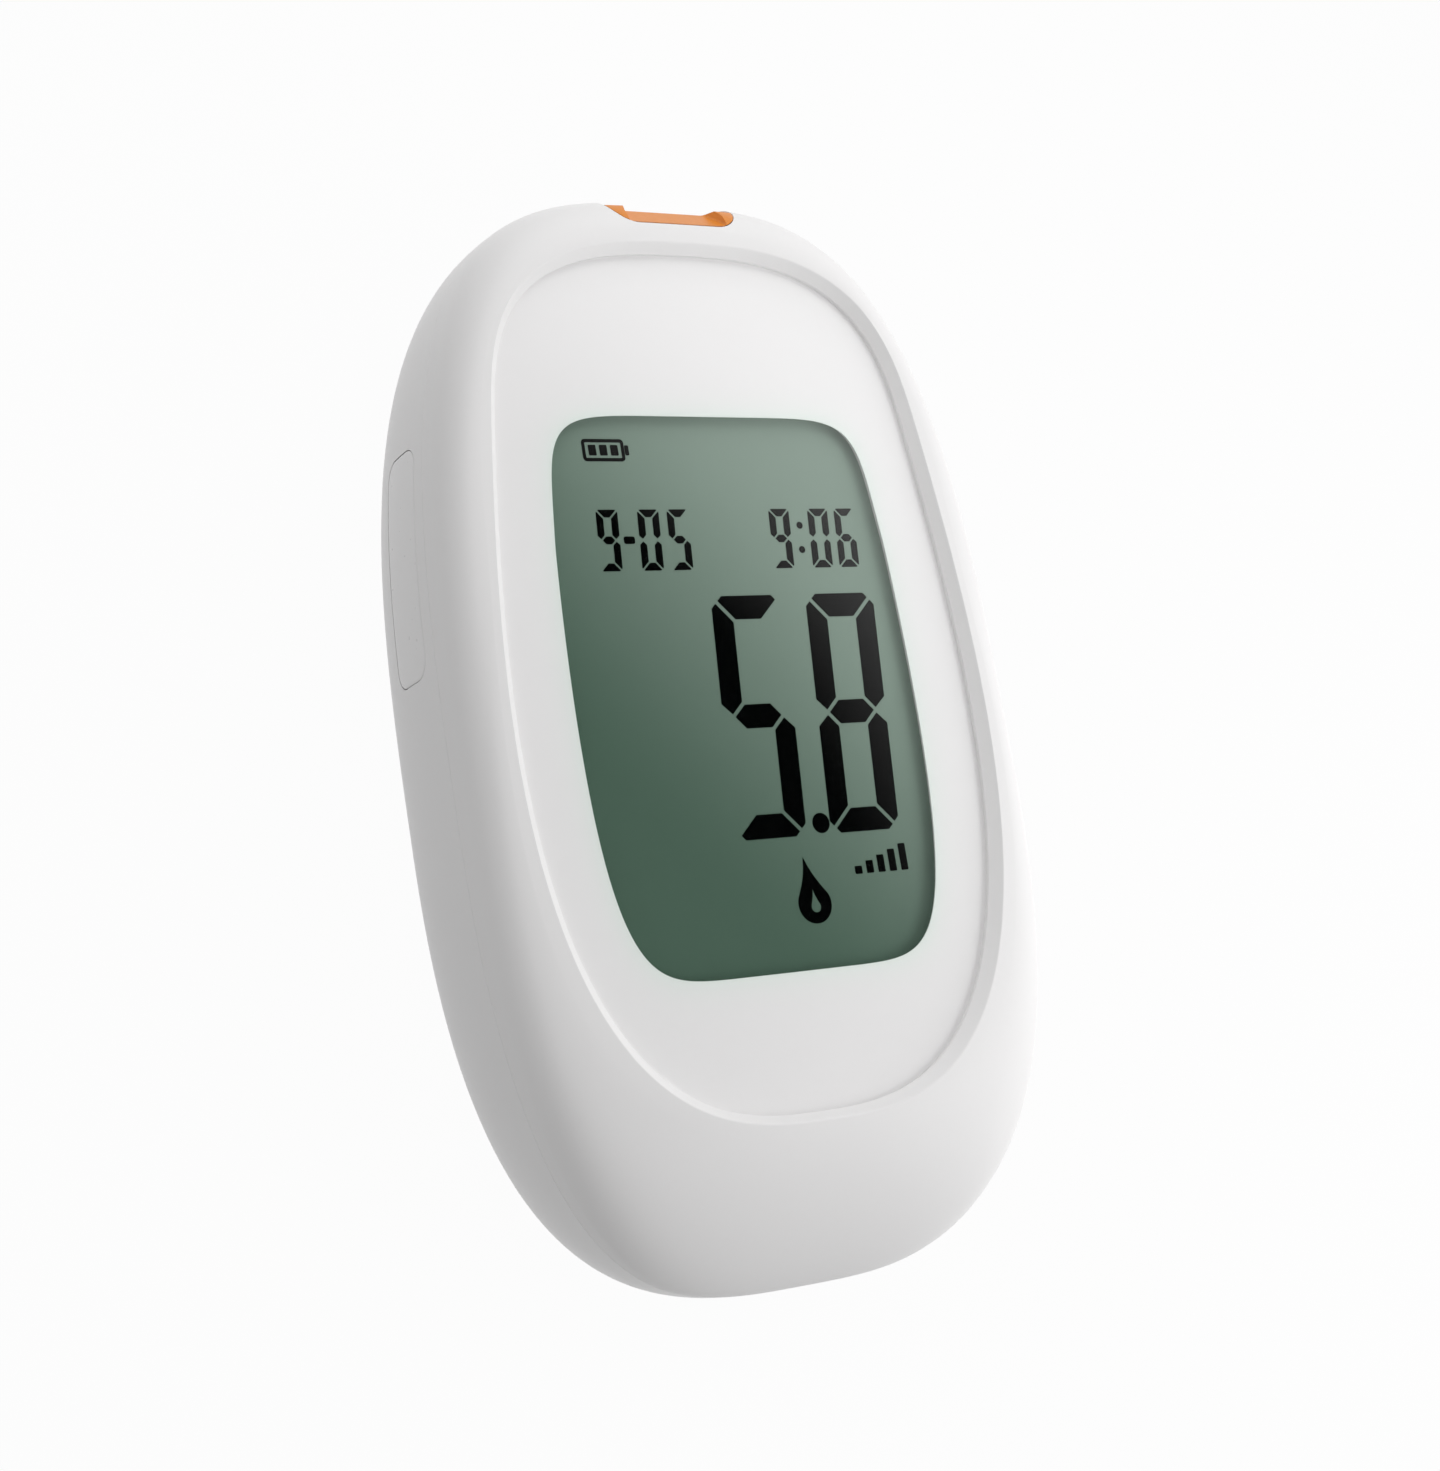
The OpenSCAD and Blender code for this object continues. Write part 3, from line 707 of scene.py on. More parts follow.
@dataclass(frozen=True)
class Striped(Finish):
    """Layers of two colours across a piece, such as conducting rubber."""

    other: str = "#C9C2B4"
    pitch: float = 0.4

    def base(self, tree: Tree, where: Socket, noise: Node) -> Socket:
        """Makes stripes along X at the layers' pitch.

        Args:
            tree: The material's tree.
            where: Place on the piece.
            noise: Unevenness at the finish's grain; not used here.

        Returns:
            The colour's socket.
        """
        wave = add(
            tree, "ShaderNodeTexWave", {"Vector": where, "Scale": WAVE / (self.pitch * MM)},
            bands_direction="X",
        )
        feeds = {0: wave.outputs["Fac"], 6: linear(self.colour), 7: linear(self.other)}
        return add(tree, "ShaderNodeMix", feeds, data_type="RGBA").outputs[2]


@dataclass(frozen=True)
class Tracked(Finish):
    """Solder mask over copper tracks on a board."""

    track: str = "#2E7A4A"
    pitch: float = 1.3
    disorder: float = 0.4
    share: float = 0.5

    def base(self, tree: Tree, where: Socket, noise: Node) -> Socket:
        """Makes the mask's colour, with the paler lines of the tracks.

        Args:
            tree: The material's tree.
            where: Place on the piece.
            noise: Unevenness at the finish's grain; not used here.

        Returns:
            The colour's socket.
        """
        cells = add(
            tree, "ShaderNodeTexVoronoi",
            {"Vector": where, "Scale": 1 / (self.pitch * MM), "Randomness": self.disorder},
            distance="MANHATTAN", feature="F1",
        )
        feeds = {0: cells.outputs["Distance"], 1: self.share}
        line = add(tree, "ShaderNodeMath", feeds, operation="GREATER_THAN")
        feeds = {0: line, 6: linear(self.colour), 7: linear(self.track)}
        return add(tree, "ShaderNodeMix", feeds, data_type="RGBA").outputs[2]


@dataclass(frozen=True)
class CellJacket(Finish):
    """Printed film jacket of a dry cell, with a coloured collar.

    The shares along the cell, from its low to its high end, are where the jacket,
    the collar and the upper metal rim start.
    """

    collar: str = "#C8A24A"
    metal: str = "#C9CACC"
    low: float = -30.0
    high: float = 0.0
    starts: tuple[float, float, float] = (0.018, 0.74, 0.955)

    def base(self, tree: Tree, where: Socket, noise: Node) -> Socket:
        """Makes metal rims, jacket and collar by their place along Y.

        Args:
            tree: The material's tree.
            where: Place on the piece.
            noise: Unevenness at the finish's grain; not used here.

        Returns:
            The colour's socket.
        """
        apart = add(tree, "ShaderNodeSeparateXYZ", {0: where})
        feeds = {0: apart.outputs["Y"], 1: self.low * MM, 2: self.high * MM}
        ramp = add(tree, "ShaderNodeValToRGB", {0: add(tree, "ShaderNodeMapRange", feeds)})
        ramp.color_ramp.interpolation = "CONSTANT"
        stops = ramp.color_ramp.elements
        stops[1].position = self.starts[2]
        stops[0].color = stops[1].color = linear(self.metal)
        for at, code in zip(self.starts, (self.colour, self.collar)):
            stops.new(at).color = linear(code)
        return ramp.outputs[0]


# Moulded ABS with a fine satin spark finish: soft highlights, faint unevenness.
# The real sparks are under 0.1 mm across and are drawn at 0.5 mm, so that they show.
SHELL = Finish("shell_abs_satin", "#EAE9E9", 0.34, ior=1.54, grain=0.5, relief=0.0015, mottle=0.012)
# The same ABS, polished a little more where the thumb rests, drawn as coarse.
KEY = Finish("key_abs_satin", "#EBEAEA", 0.30, ior=1.54, grain=0.5, relief=0.001, mottle=0.012)
# Clear acrylic sheet, hard coated: near colourless, sharp weak reflections.
PANEL = ClearSheet("panel_clear_acrylic", "#FEFEFE", 0.02, ior=1.49)
# White screen print under the acrylic: even and matt, with a painted glow that tints it green near the
# window.
PRINT = PrintWithPaintedGlow("panel_white_print_painted_glow", "#F6F5F5", 0.55, grain=0.4, relief=0.0005, mottle=0.01)
# White double-sided foam tape: dull, with fine cells.
TAPE = Finish("foam_tape", "#DADAD8", 0.85, grain=0.2, relief=0.02, mottle=0.08)
# Reflective liquid crystal seen through its front polariser: grey green, satin, with a painted sheen that
# lightens it towards the upper right corner.
FILM = DisplayFilmPaintedSheen("display_polariser_painted_sheen", "#526A5C", 0.6, ior=1.08, grain=0.15, relief=0.0005, mottle=0.04)
# Switched liquid crystal: nearly black, with the film's own sheen.
MARK = Finish("display_dark_crystal", "#020303", 0.6, ior=1.08, grain=0.15, relief=0.0005, mottle=0.2)
# Thin soda lime glass of the display cell, faintly green at its edges.
GLASS = ClearSheet("display_glass", "#EAF4EE", 0.01, ior=1.52)
# White polycarbonate frame, plain tool finish.
FRAME = Finish("frame_polycarbonate", "#E4E4E0", 0.5, ior=1.58, grain=0.8, relief=0.003)
# Layered conducting rubber: black and pale stripes, whose real pitch of about
# 0.1 mm is drawn at 0.4 mm, so that it shows.
ZEBRA = Striped("layered_rubber", "#2A2A2C", 0.75, grain=0.1, pitch=0.4)
# Glass-epoxy board with green solder mask: glossy, and paler over the tracks.
BOARD = Tracked("solder_mask", "#14532F", 0.3, ior=1.55, grain=0.3, relief=0.01)
# Black moulded epoxy of chips, buzzer and switch: dull and finely gritty.
BLACK = Finish("black_epoxy", "#1D1D1F", 0.6, ior=1.55, grain=0.08, relief=0.004, mottle=0.15)
# Fired ceramic of the capacitors: warm and matt.
CERAMIC = Finish("fired_ceramic", "#B79A6C", 0.65, ior=1.6, grain=0.1, relief=0.003, mottle=0.15)
# Orange moulded ABS of the strip port, semi-gloss.
ORANGE = Finish("port_orange_abs", "#DE8520", 0.42, ior=1.54, grain=0.4, relief=0.0015, mottle=0.05)
# Gold-flashed spring bronze: warm and bright, a little uneven.
GOLD = Finish("gold_flashed_bronze", "#D9B25E", 0.25, metallic=1.0, grain=0.15, relief=0.001, mottle=0.1)
# Bright nickel plate on spring steel.
NICKEL = Finish("nickel_plated_steel", "#C6C3BC", 0.28, metallic=1.0, grain=0.2, relief=0.0015, mottle=0.1)
# Zinc plated screw steel: grey, slightly hazed.
SCREW = Finish("zinc_plated_steel", "#A9ACB0", 0.36, metallic=1.0, grain=0.15, relief=0.002, mottle=0.15)
# Printed plastic sleeve of a dry cell: glossy, with a gold band.
JACKET = CellJacket("cell_jacket", "#2F6A4E", 0.3, grain=0.6, relief=0.001)


# ------------------------------------------------------------------ surfaces


@dataclass(frozen=True)
class Oval:
    """Closed outline with its own squareness on the sides and at each end."""

    half: float
    mid: float
    up: float
    down: float
    side_power: float
    up_power: float
    down_power: float
    taper: float = 0.0

    def at(self, turn: np.ndarray, out: float = 0.0) -> np.ndarray:
        """Points of the outline.

        Args:
            turn: Angles in radians.
            out: How far the outline is drawn outwards.

        Returns:
            Rows of x and y.
        """
        s, c = np.sin(turn), np.cos(turn)
        rising = s >= 0
        reach = np.where(rising, self.up, self.down) + out
        power = np.where(rising, self.up_power, self.down_power)
        y = reach * signed_power(s, 2 / power)
        x = (self.half + out) * (1 - self.taper * y) * signed_power(c, 2 / self.side_power)
        return np.column_stack([x, self.mid + y])


@dataclass(frozen=True)
class Body:
    """Driving sizes of the housing and the surfaces worked out from them.

    Powers are those of an oval, on its sides, at its top end and at its chin.
    """

    length: float = 96.5
    width: float = 56.0
    height: float = 21.0
    widest: float = -6.0
    wall: float = 1.6
    powers: tuple[float, float, float] = (3.3, 2.86, 2.5)
    seam_below: float = 5.1
    seam_drop: float = 2.9
    shoulder_side: float = 3.56
    shoulder_top: float = 2.76
    shoulder_chin: float = 1.4
    back_in_x: float = 5.9
    back_in_y: float = 9.85
    back_power: float = 2.25
    back_thick: float = 1.8
    root: float = 0.2
    lip_high: float = 0.8
    lip_thick: float = 0.75
    seam_gap: float = 0.02
    panel_side: float = 6.3
    panel_start: float = 25.15
    panel_end: float = 6.15
    panel_chin: float = 14.25
    panel_powers: tuple[float, float, float] = (2.77, 3.77, 2.26)
    panel_taper: float = 0.0059
    rim_drop: float = 0.9
    rim_wide: float = 0.8
    window_side: float = 4.65
    window_start: float = 32.45
    window_top: float = 14.8
    window_chin: float = 11.9
    window_powers: tuple[float, float, float] = (7.2, 5.6, 1.2)
    window_taper: float = 0.0061
    lens_thick: float = 0.7
    film_thick: float = 0.1
    face_thick: float = 1.1

    @property
    def half(self) -> float:
        """Half of the length."""
        return self.length / 2

    @property
    def seam_z(self) -> float:
        """Height of the parting line at mid-length."""
        return self.height - self.seam_below

    @property
    def panel_z(self) -> float:
        """Height of the panel's top."""
        return self.height - self.rim_drop

    @property
    def recess_z(self) -> float:
        """Height of the floor that the panel lies on."""
        return self.panel_z - self.lens_thick - 2 * self.film_thick

    @property
    def face_z(self) -> float:
        """Height of the front face's underside."""
        return self.recess_z - self.face_thick

    @property
    def outline(self) -> Oval:
        """The housing seen from the front."""
        up, down = self.half - self.widest, self.half + self.widest
        return Oval(self.width / 2, self.widest, up, down, *self.powers)

    @property
    def panel(self) -> Oval:
        """The clear panel's recess."""
        half, mid = self.width / 2 - self.panel_side, self.half - self.panel_start
        up, down = self.panel_start - self.panel_end, mid + self.half - self.panel_chin
        return Oval(half, mid, up, down, *self.panel_powers, self.panel_taper)

    @property
    def window(self) -> Oval:
        """The viewing window in the panel's print.

        Returns:
            Its outline.
        """
        panel = self.panel
        half, mid = panel.half - self.window_side, self.half - self.window_start
        top = panel.mid + panel.up - self.window_top
        low = panel.mid - panel.down + self.window_chin
        return Oval(half, mid, top - mid, mid - low, *self.window_powers, self.window_taper)

    @property
    def back_share(self) -> np.ndarray:
        """How far the flat back is scaled from the outline along x and y."""
        return np.array([1 - self.back_in_x * 2 / self.width, 1 - self.back_in_y / self.half])

    def seam_at(self, y: Any) -> Any:
        """Height of the parting line at a station."""
        return self.seam_z - self.seam_drop * (y / self.half) ** 4

    def seam_ring(self, inset: float, rise: float) -> Ring:
        """Ring beside the parting line, drawn in by an inset and raised."""
        high = self.seam_at(self.outline.at(TURNS)[:, 1]) + rise
        return lift(self.outline.at(TURNS, -inset), high)

    def front_ring(
        self, turn: float, inset: float, rim_out: float, rim_z: float, rise: float = 0.0
    ) -> Ring:
        """Ring on the front shoulder.

        Args:
            turn: Degrees, from 90 at the parting line to 0 at the rim.
            inset: How far the outline is drawn in.
            rim_out: How far the rim lies outside the panel.
            rim_z: Height of the rim.
            rise: How far the ring at the parting line is raised.

        Returns:
            Rows of x, y and z.
        """
        s = np.sin(TURNS)
        end = np.where(s >= 0, self.shoulder_top, self.shoulder_chin)
        power = self.shoulder_side + (end - self.shoulder_side) * s * s
        out = math.sin(math.radians(turn)) ** (2 / power)
        up = math.cos(math.radians(turn)) ** (2 / power)
        body, rim = self.outline.at(TURNS, -inset), self.panel.at(TURNS, rim_out)
        low = self.seam_at(body[:, 1]) + rise
        return lift(rim + (body - rim) * out[:, None], rim_z + (low - rim_z) * (1 - up))

    def shoulder(self, turn: float, inset: float = 0.0) -> Ring:
        """Ring on the shoulder's outside, or drawn in from it under the same crest."""
        return self.front_ring(turn, inset, self.rim_wide - inset, self.height)

    def rear_ring(
        self, turn: float, inset: float = 0.0, floor: float = 0.0, rise: float = 0.0
    ) -> Ring:
        """Ring on the rear flank.

        Args:
            turn: Degrees, from 0 at the parting line to 90 at the back.
            inset: How far the outline is drawn in.
            floor: Height of the back.
            rise: How far the ring at the parting line is raised.

        Returns:
            Rows of x, y and z.
        """
        out = math.cos(math.radians(turn)) ** (2 / self.back_power)
        down = math.sin(math.radians(turn)) ** (2 / self.back_power)
        body = self.outline.at(TURNS, -inset)
        back = body * self.back_share
        high = self.seam_at(body[:, 1]) + rise
        return lift(back + (body - back) * out, high + (floor - high) * down)

    def flank_x(self, y: np.ndarray, z: np.ndarray) -> np.ndarray:
        """Half width of the rear flank below the parting line.

        Args:
            y: Stations.
            z: Heights at those stations.

        Returns:
            The half widths.
        """
        side, top, chin = self.powers
        rows = np.asarray(y, float)
        # The flank is scaled down towards the back, so a point's station on the
        # outline is found by steps.
        for _ in range(4):
            high = self.seam_at(rows)
            fall = np.clip((high - z) / high, 0.0, 1.0)
            share = (1 - fall**self.back_power) ** (1 / self.back_power)
            rows = y / (1 - self.back_in_y / self.half * (1 - share))
        run = rows - self.widest
        reach = np.where(run > 0, self.half - self.widest, self.half + self.widest)
        power = np.where(run > 0, top, chin)
        full = self.width / 2 * (1 - np.abs(run / reach) ** power) ** (1 / side)
        return full * (1 - self.back_in_x * 2 / self.width * (1 - share))

    def envelope(self, inset: float = 0.0) -> Piece:
        """Closed solid of the whole housing, drawn in by an inset."""
        rings = [self.rear_ring(t, inset) for t in range(90, 0, -6)]
        return loft("envelope", rings + [self.shoulder(t, inset) for t in range(90, -1, -6)])


BODY = Body()


# ------------------------------------------------------------------- shells


@dataclass
class StripPort:
    """Orange mouth that takes the test strip, with its cut in both shells.

    The mouth crosses the end wall, the notch opens the front above it, and the
    dish is the hollow between the port's side lips.  A dish wall slopes from its
    foot to its brow, each given by how far it lies outside the lip's inner side
    and how far below the ramp or the housing's top.  Where the mouth grows, the
    notch's foot sinks by notch_share of that.
    """

    width: float = 13.4
    drop: float = 8.6
    throat_tall: float = 6.8
    recess: float = 1.5
    depth: float = 3.4
    lip: float = 3.45
    side: float = 1.9
    corner: float = 2.6
    mouth_corner: float = 1.2
    notch_long: float = 10.0
    notch_into: float = 1.4
    notch_share: float = 1.25
    play: float = 0.08
    flange: float = 1.0
    flange_thick: float = 0.9
    flange_short: float = 2.4
    dish_below: float = 0.2
    ramp_fall: float = 2.4
    dish_foot: tuple[float, float] = (-0.85, 0.6)
    dish_brow: tuple[float, float] = (0.3, 0.8)
    dish_round: float = 0.7
    slot: tuple[float, float] = (7.6, 1.1)
    slot_below: float = 4.4
    funnel: float = 0.9
    funnel_side: float = 0.4
    edge: float = 0.22

    @property
    def low(self) -> float:
        """Height of the port's lowest point."""
        return BODY.height - self.drop

    @property
    def throat(self) -> float:
        """Height of the top of the part that crosses the wall."""
        return self.low + self.throat_tall

    def mouth(self, grow: float, start: float) -> list[Piece]:
        """Prisms of the mouth in the end and of the notch in the front.

        Args:
            grow: How far they are drawn outwards.
            start: Station where the mouth starts.

        Returns:
            The two prisms.
        """
        wide, tall = self.width + 2 * grow, self.throat - self.low + 2 * grow
        mouth = rounded_box(wide, tall, self.mouth_corner, (0.0, (self.low + self.throat) / 2))
        middle = BODY.half - self.lip - grow + self.notch_long / 2
        notch = rounded_box(wide, self.notch_long, self.corner + grow, (0.0, middle))
        foot = self.throat - self.notch_into - self.notch_share * grow
        return [
            prism(mouth, start, BODY.half + 2 * OVER, Axis.Y),
            prism(notch, foot, BODY.height + 8 * OVER, Axis.Z),
        ]

    def cutters(self) -> list[Piece]:
        """Solids that open the shells for the port."""
        return self.mouth(self.play, BODY.half - self.depth - self.play - 2 * OVER)

    def dish(self) -> Piece:
        """Hollow between the side lips: a ramp down to the face, with sloping walls.

        Returns:
            The solid to cut away.
        """
        face, lip, top = BODY.half - self.recess, BODY.half - self.lip, BODY.height - self.dish_below
        ramp, roof = top - self.ramp_fall, BODY.height + OVER
        beyond = ramp - (top - ramp) / (face - lip) * OVER
        side = prism(
            np.array([[face + OVER, beyond], [lip, top], [lip, roof], [face + OVER, roof]]),
            -self.width, self.width, Axis.X,
        )
        inner = self.width / 2 - self.side
        narrow, wide = inner + self.dish_foot[0], inner + self.dish_brow[0]
        wall = [
            [narrow, self.low - 2 * OVER], [narrow, ramp - self.dish_foot[1]],
            [wide, BODY.height - self.dish_brow[1]], [wide, roof + OVER],
        ]
        both = np.array(wall + [[-x, z] for x, z in reversed(wall)])
        front = prism(both, lip - OVER, BODY.half + 2 * OVER, Axis.Y)
        return soften(carve(side, Cut.KEEP, [front]), self.dish_round, 4)

    def build(self) -> None:
        """Makes the port: lips flush with the shells, dish, slot and flange."""
        inner, face = BODY.half - self.depth, BODY.half - self.recess
        piece, notch = self.mouth(0.0, inner)
        carve(piece, Cut.JOIN, [notch])
        carve(piece, Cut.KEEP, [BODY.envelope()])
        low, high = self.low - OVER, BODY.height + OVER
        carve(piece, Cut.KEEP, [block([-self.width, inner - OVER, low], [self.width, face, high])])
        half, behind = self.width / 2 + self.flange, inner - self.flange_thick
        top = self.throat - self.flange_short
        carve(piece, Cut.JOIN, [block([-half, behind, self.low], [half, inner + BITE, top])])
        carve(piece, Cut.REMOVE, [self.dish()])
        wide, tall = self.slot[0] / 2, self.slot[1] / 2
        z = BODY.height - self.slot_below
        flare, reach = tall + self.funnel, wide + self.funnel_side
        funnel = np.array([[face + BITE, z - flare], [face + BITE, z + flare], [face - self.funnel, z]])
        carve(piece, Cut.REMOVE, [
            block([-wide, behind - OVER, z - tall], [wide, BODY.half, z + tall]),
            prism(funnel, -reach, reach, Axis.X),
        ])
        piece.name = "port_mouth"
        soften(piece, self.edge, 3)
        place(polish(piece), ORANGE.build(), "housing", ["strip_port"])


@dataclass
class SideKey:
    """Long flush key on the left edge.

    The insets are of the cap's rings, which crowd where its edge rounds away, and
    the grid gives the points along the key's straights.
    """

    length: float = 20.0
    height: float = 6.4
    from_end: float = 32.0
    below: float = 5.0
    corner: float = 1.8
    play: float = 0.07
    flange: float = 0.7
    flange_thick: float = 1.0
    foot: float = 0.4
    edge: float = 0.12
    insets: tuple[float, ...] = (1.4, 1.0, 0.6, 0.3, 0.11, 0.06, 0.025, 0.0)
    grid: tuple[int, int] = (31, 11)

    @property
    def middle(self) -> Point:
        """Station and height of the key's middle."""
        return BODY.half - self.from_end, BODY.seam_z - self.below

    @property
    def inner_x(self) -> float:
        """Plane of the key's inner side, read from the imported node."""
        return node_box("side_key")[1].x

    def outline(self, grow: float) -> np.ndarray:
        """Outline of the key, with points along its straights.

        Args:
            grow: How far it is drawn outwards.

        Returns:
            Rows of y and z.
        """
        radius = max(self.corner + grow, 0.0)
        long, tall = self.length / 2 + grow - radius, self.height / 2 + grow - radius
        sweep = np.linspace(0.0, math.pi / 2, 11)
        bend = np.column_stack([np.cos(sweep), np.sin(sweep)]) * radius
        top = np.linspace(long, -long, self.grid[0])[1:-1]
        side = np.linspace(-tall, tall, self.grid[1])[1:-1]
        half = np.vstack([
            np.column_stack([np.full(len(side), long + radius), side]),
            bend + [long, tall],
            np.column_stack([top, np.full(len(top), tall + radius)]),
            bend[::-1] * [-1, 1] + [-long, tall],
        ])
        return np.vstack([half, -half]) + np.array(self.middle)

    def cutter(self) -> Piece:
        """Solid that opens the rear shell for the key."""
        return prism(self.outline(self.play), -BODY.width / 2 - OVER, self.inner_x, Axis.X)

    def skin(self, flat: np.ndarray, inset: float) -> np.ndarray:
        """Points on the cap, which falls away at its rounded edge.

        Args:
            flat: Their y and z, in any number of rows.
            inset: How far they are from the cap's edge.

        Returns:
            Their x, y and z.
        """
        fall = self.edge - math.sqrt(self.edge**2 - max(self.edge - inset, 0.0) ** 2)
        x = BODY.flank_x(flat[..., 0], flat[..., 1]) - fall
        return np.concatenate([-x[..., None], flat], axis=-1)

    def centre(self) -> np.ndarray:
        """Rows of points that close the cap inside its rings.

        Returns:
            A grid of x, y and z.
        """
        long, tall = self.length / 2 - self.corner, self.height / 2 - self.corner
        y = self.middle[0] + np.linspace(-long, long, self.grid[0])
        z = self.middle[1] + np.linspace(-tall, tall, self.grid[1])
        return self.skin(np.stack(np.meshgrid(y, z), axis=-1), self.corner)

    def build(self) -> None:
        """Makes the key: a cap that follows the flank, and the flange behind it."""
        rings = [self.skin(self.outline(-inset), inset) for inset in (self.corner, *self.insets)]
        back, front = self.inner_x, self.inner_x - self.flange_thick
        foot = self.foot - self.height / 2
        for grow, x in ((0.0, front), (self.flange, front), (self.flange, back), (foot, back)):
            flat = self.outline(grow)
            rings.append(np.column_stack([np.full(len(flat), x), flat]))
        piece = loft("side_key_cap", rings, patch=self.centre())
        place(polish(piece), KEY.build(), "key", ["side_key"])


@dataclass
class Screws:
    """Four pan-head screws that hold the shells together.

    Each spot gives a pair's x and y, and how far its columns pass the front
    face's underside.
    """

    thread: float = 2.0
    head: float = 3.8
    length: float = 8.0
    seat: float = 4.6
    web: float = 1.6
    column_wall: float = 1.5
    column_gap: float = 0.05
    tower_wall: float = 1.4
    bore_play: float = 0.04
    hole_play: float = 0.2
    head_play: float = 0.3
    edge: float = 0.12
    spots: tuple[tuple[float, float, float], ...] = ((13.0, 33.2, 0.4), (18.0, -33.4, -1.2))

    @property
    def web_z(self) -> float:
        """Height of the top of the plastic that the heads clamp."""
        return self.seat + self.web

    def posts(self, radius: float, low: float, high: float, count: int = 64) -> list[Piece]:
        """A round post at each screw.

        Args:
            radius: Radius of the posts.
            low: Height of their lower ends.
            high: Height of their upper ends.
            count: Sides of each post.

        Returns:
            The four posts.
        """
        return [
            prism(circle(side * x, y, radius, count), low, high)
            for x, y, _ in self.spots for side in (-1, 1)
        ]

    def columns(self) -> list[Piece]:
        """Screw columns of the front shell.

        Returns:
            The four columns.
        """
        radius, low = self.thread / 2 + self.column_wall, self.web_z + self.column_gap
        return [
            prism(circle(side * x, y, radius), low, BODY.face_z + past)
            for x, y, past in self.spots for side in (-1, 1)
        ]

    def bores(self) -> list[Piece]:
        """Bores of those columns."""
        low = self.web_z - OVER
        return self.posts(self.thread / 2 + self.bore_play, low, low + self.length, 32)

    def towers(self) -> list[Piece]:
        """Plastic round the wells of the rear shell."""
        return self.posts(self.head / 2 + self.tower_wall, BODY.root, self.web_z)

    def wells(self) -> list[Piece]:
        """Wells and clearance holes in the rear shell."""
        wells = self.posts(self.head / 2 + self.head_play, -OVER, self.seat)
        hole = self.thread / 2 + self.hole_play
        return wells + self.posts(hole, self.seat - OVER / 2, self.web_z + OVER, 32)

    def build(self) -> None:
        """Dresses the screws with softened heads."""
        piece = soften(copy_of("housing_screws", "case_screws"), self.edge)
        place(polish(piece), SCREW.build(), "housing", ["housing_screws"])


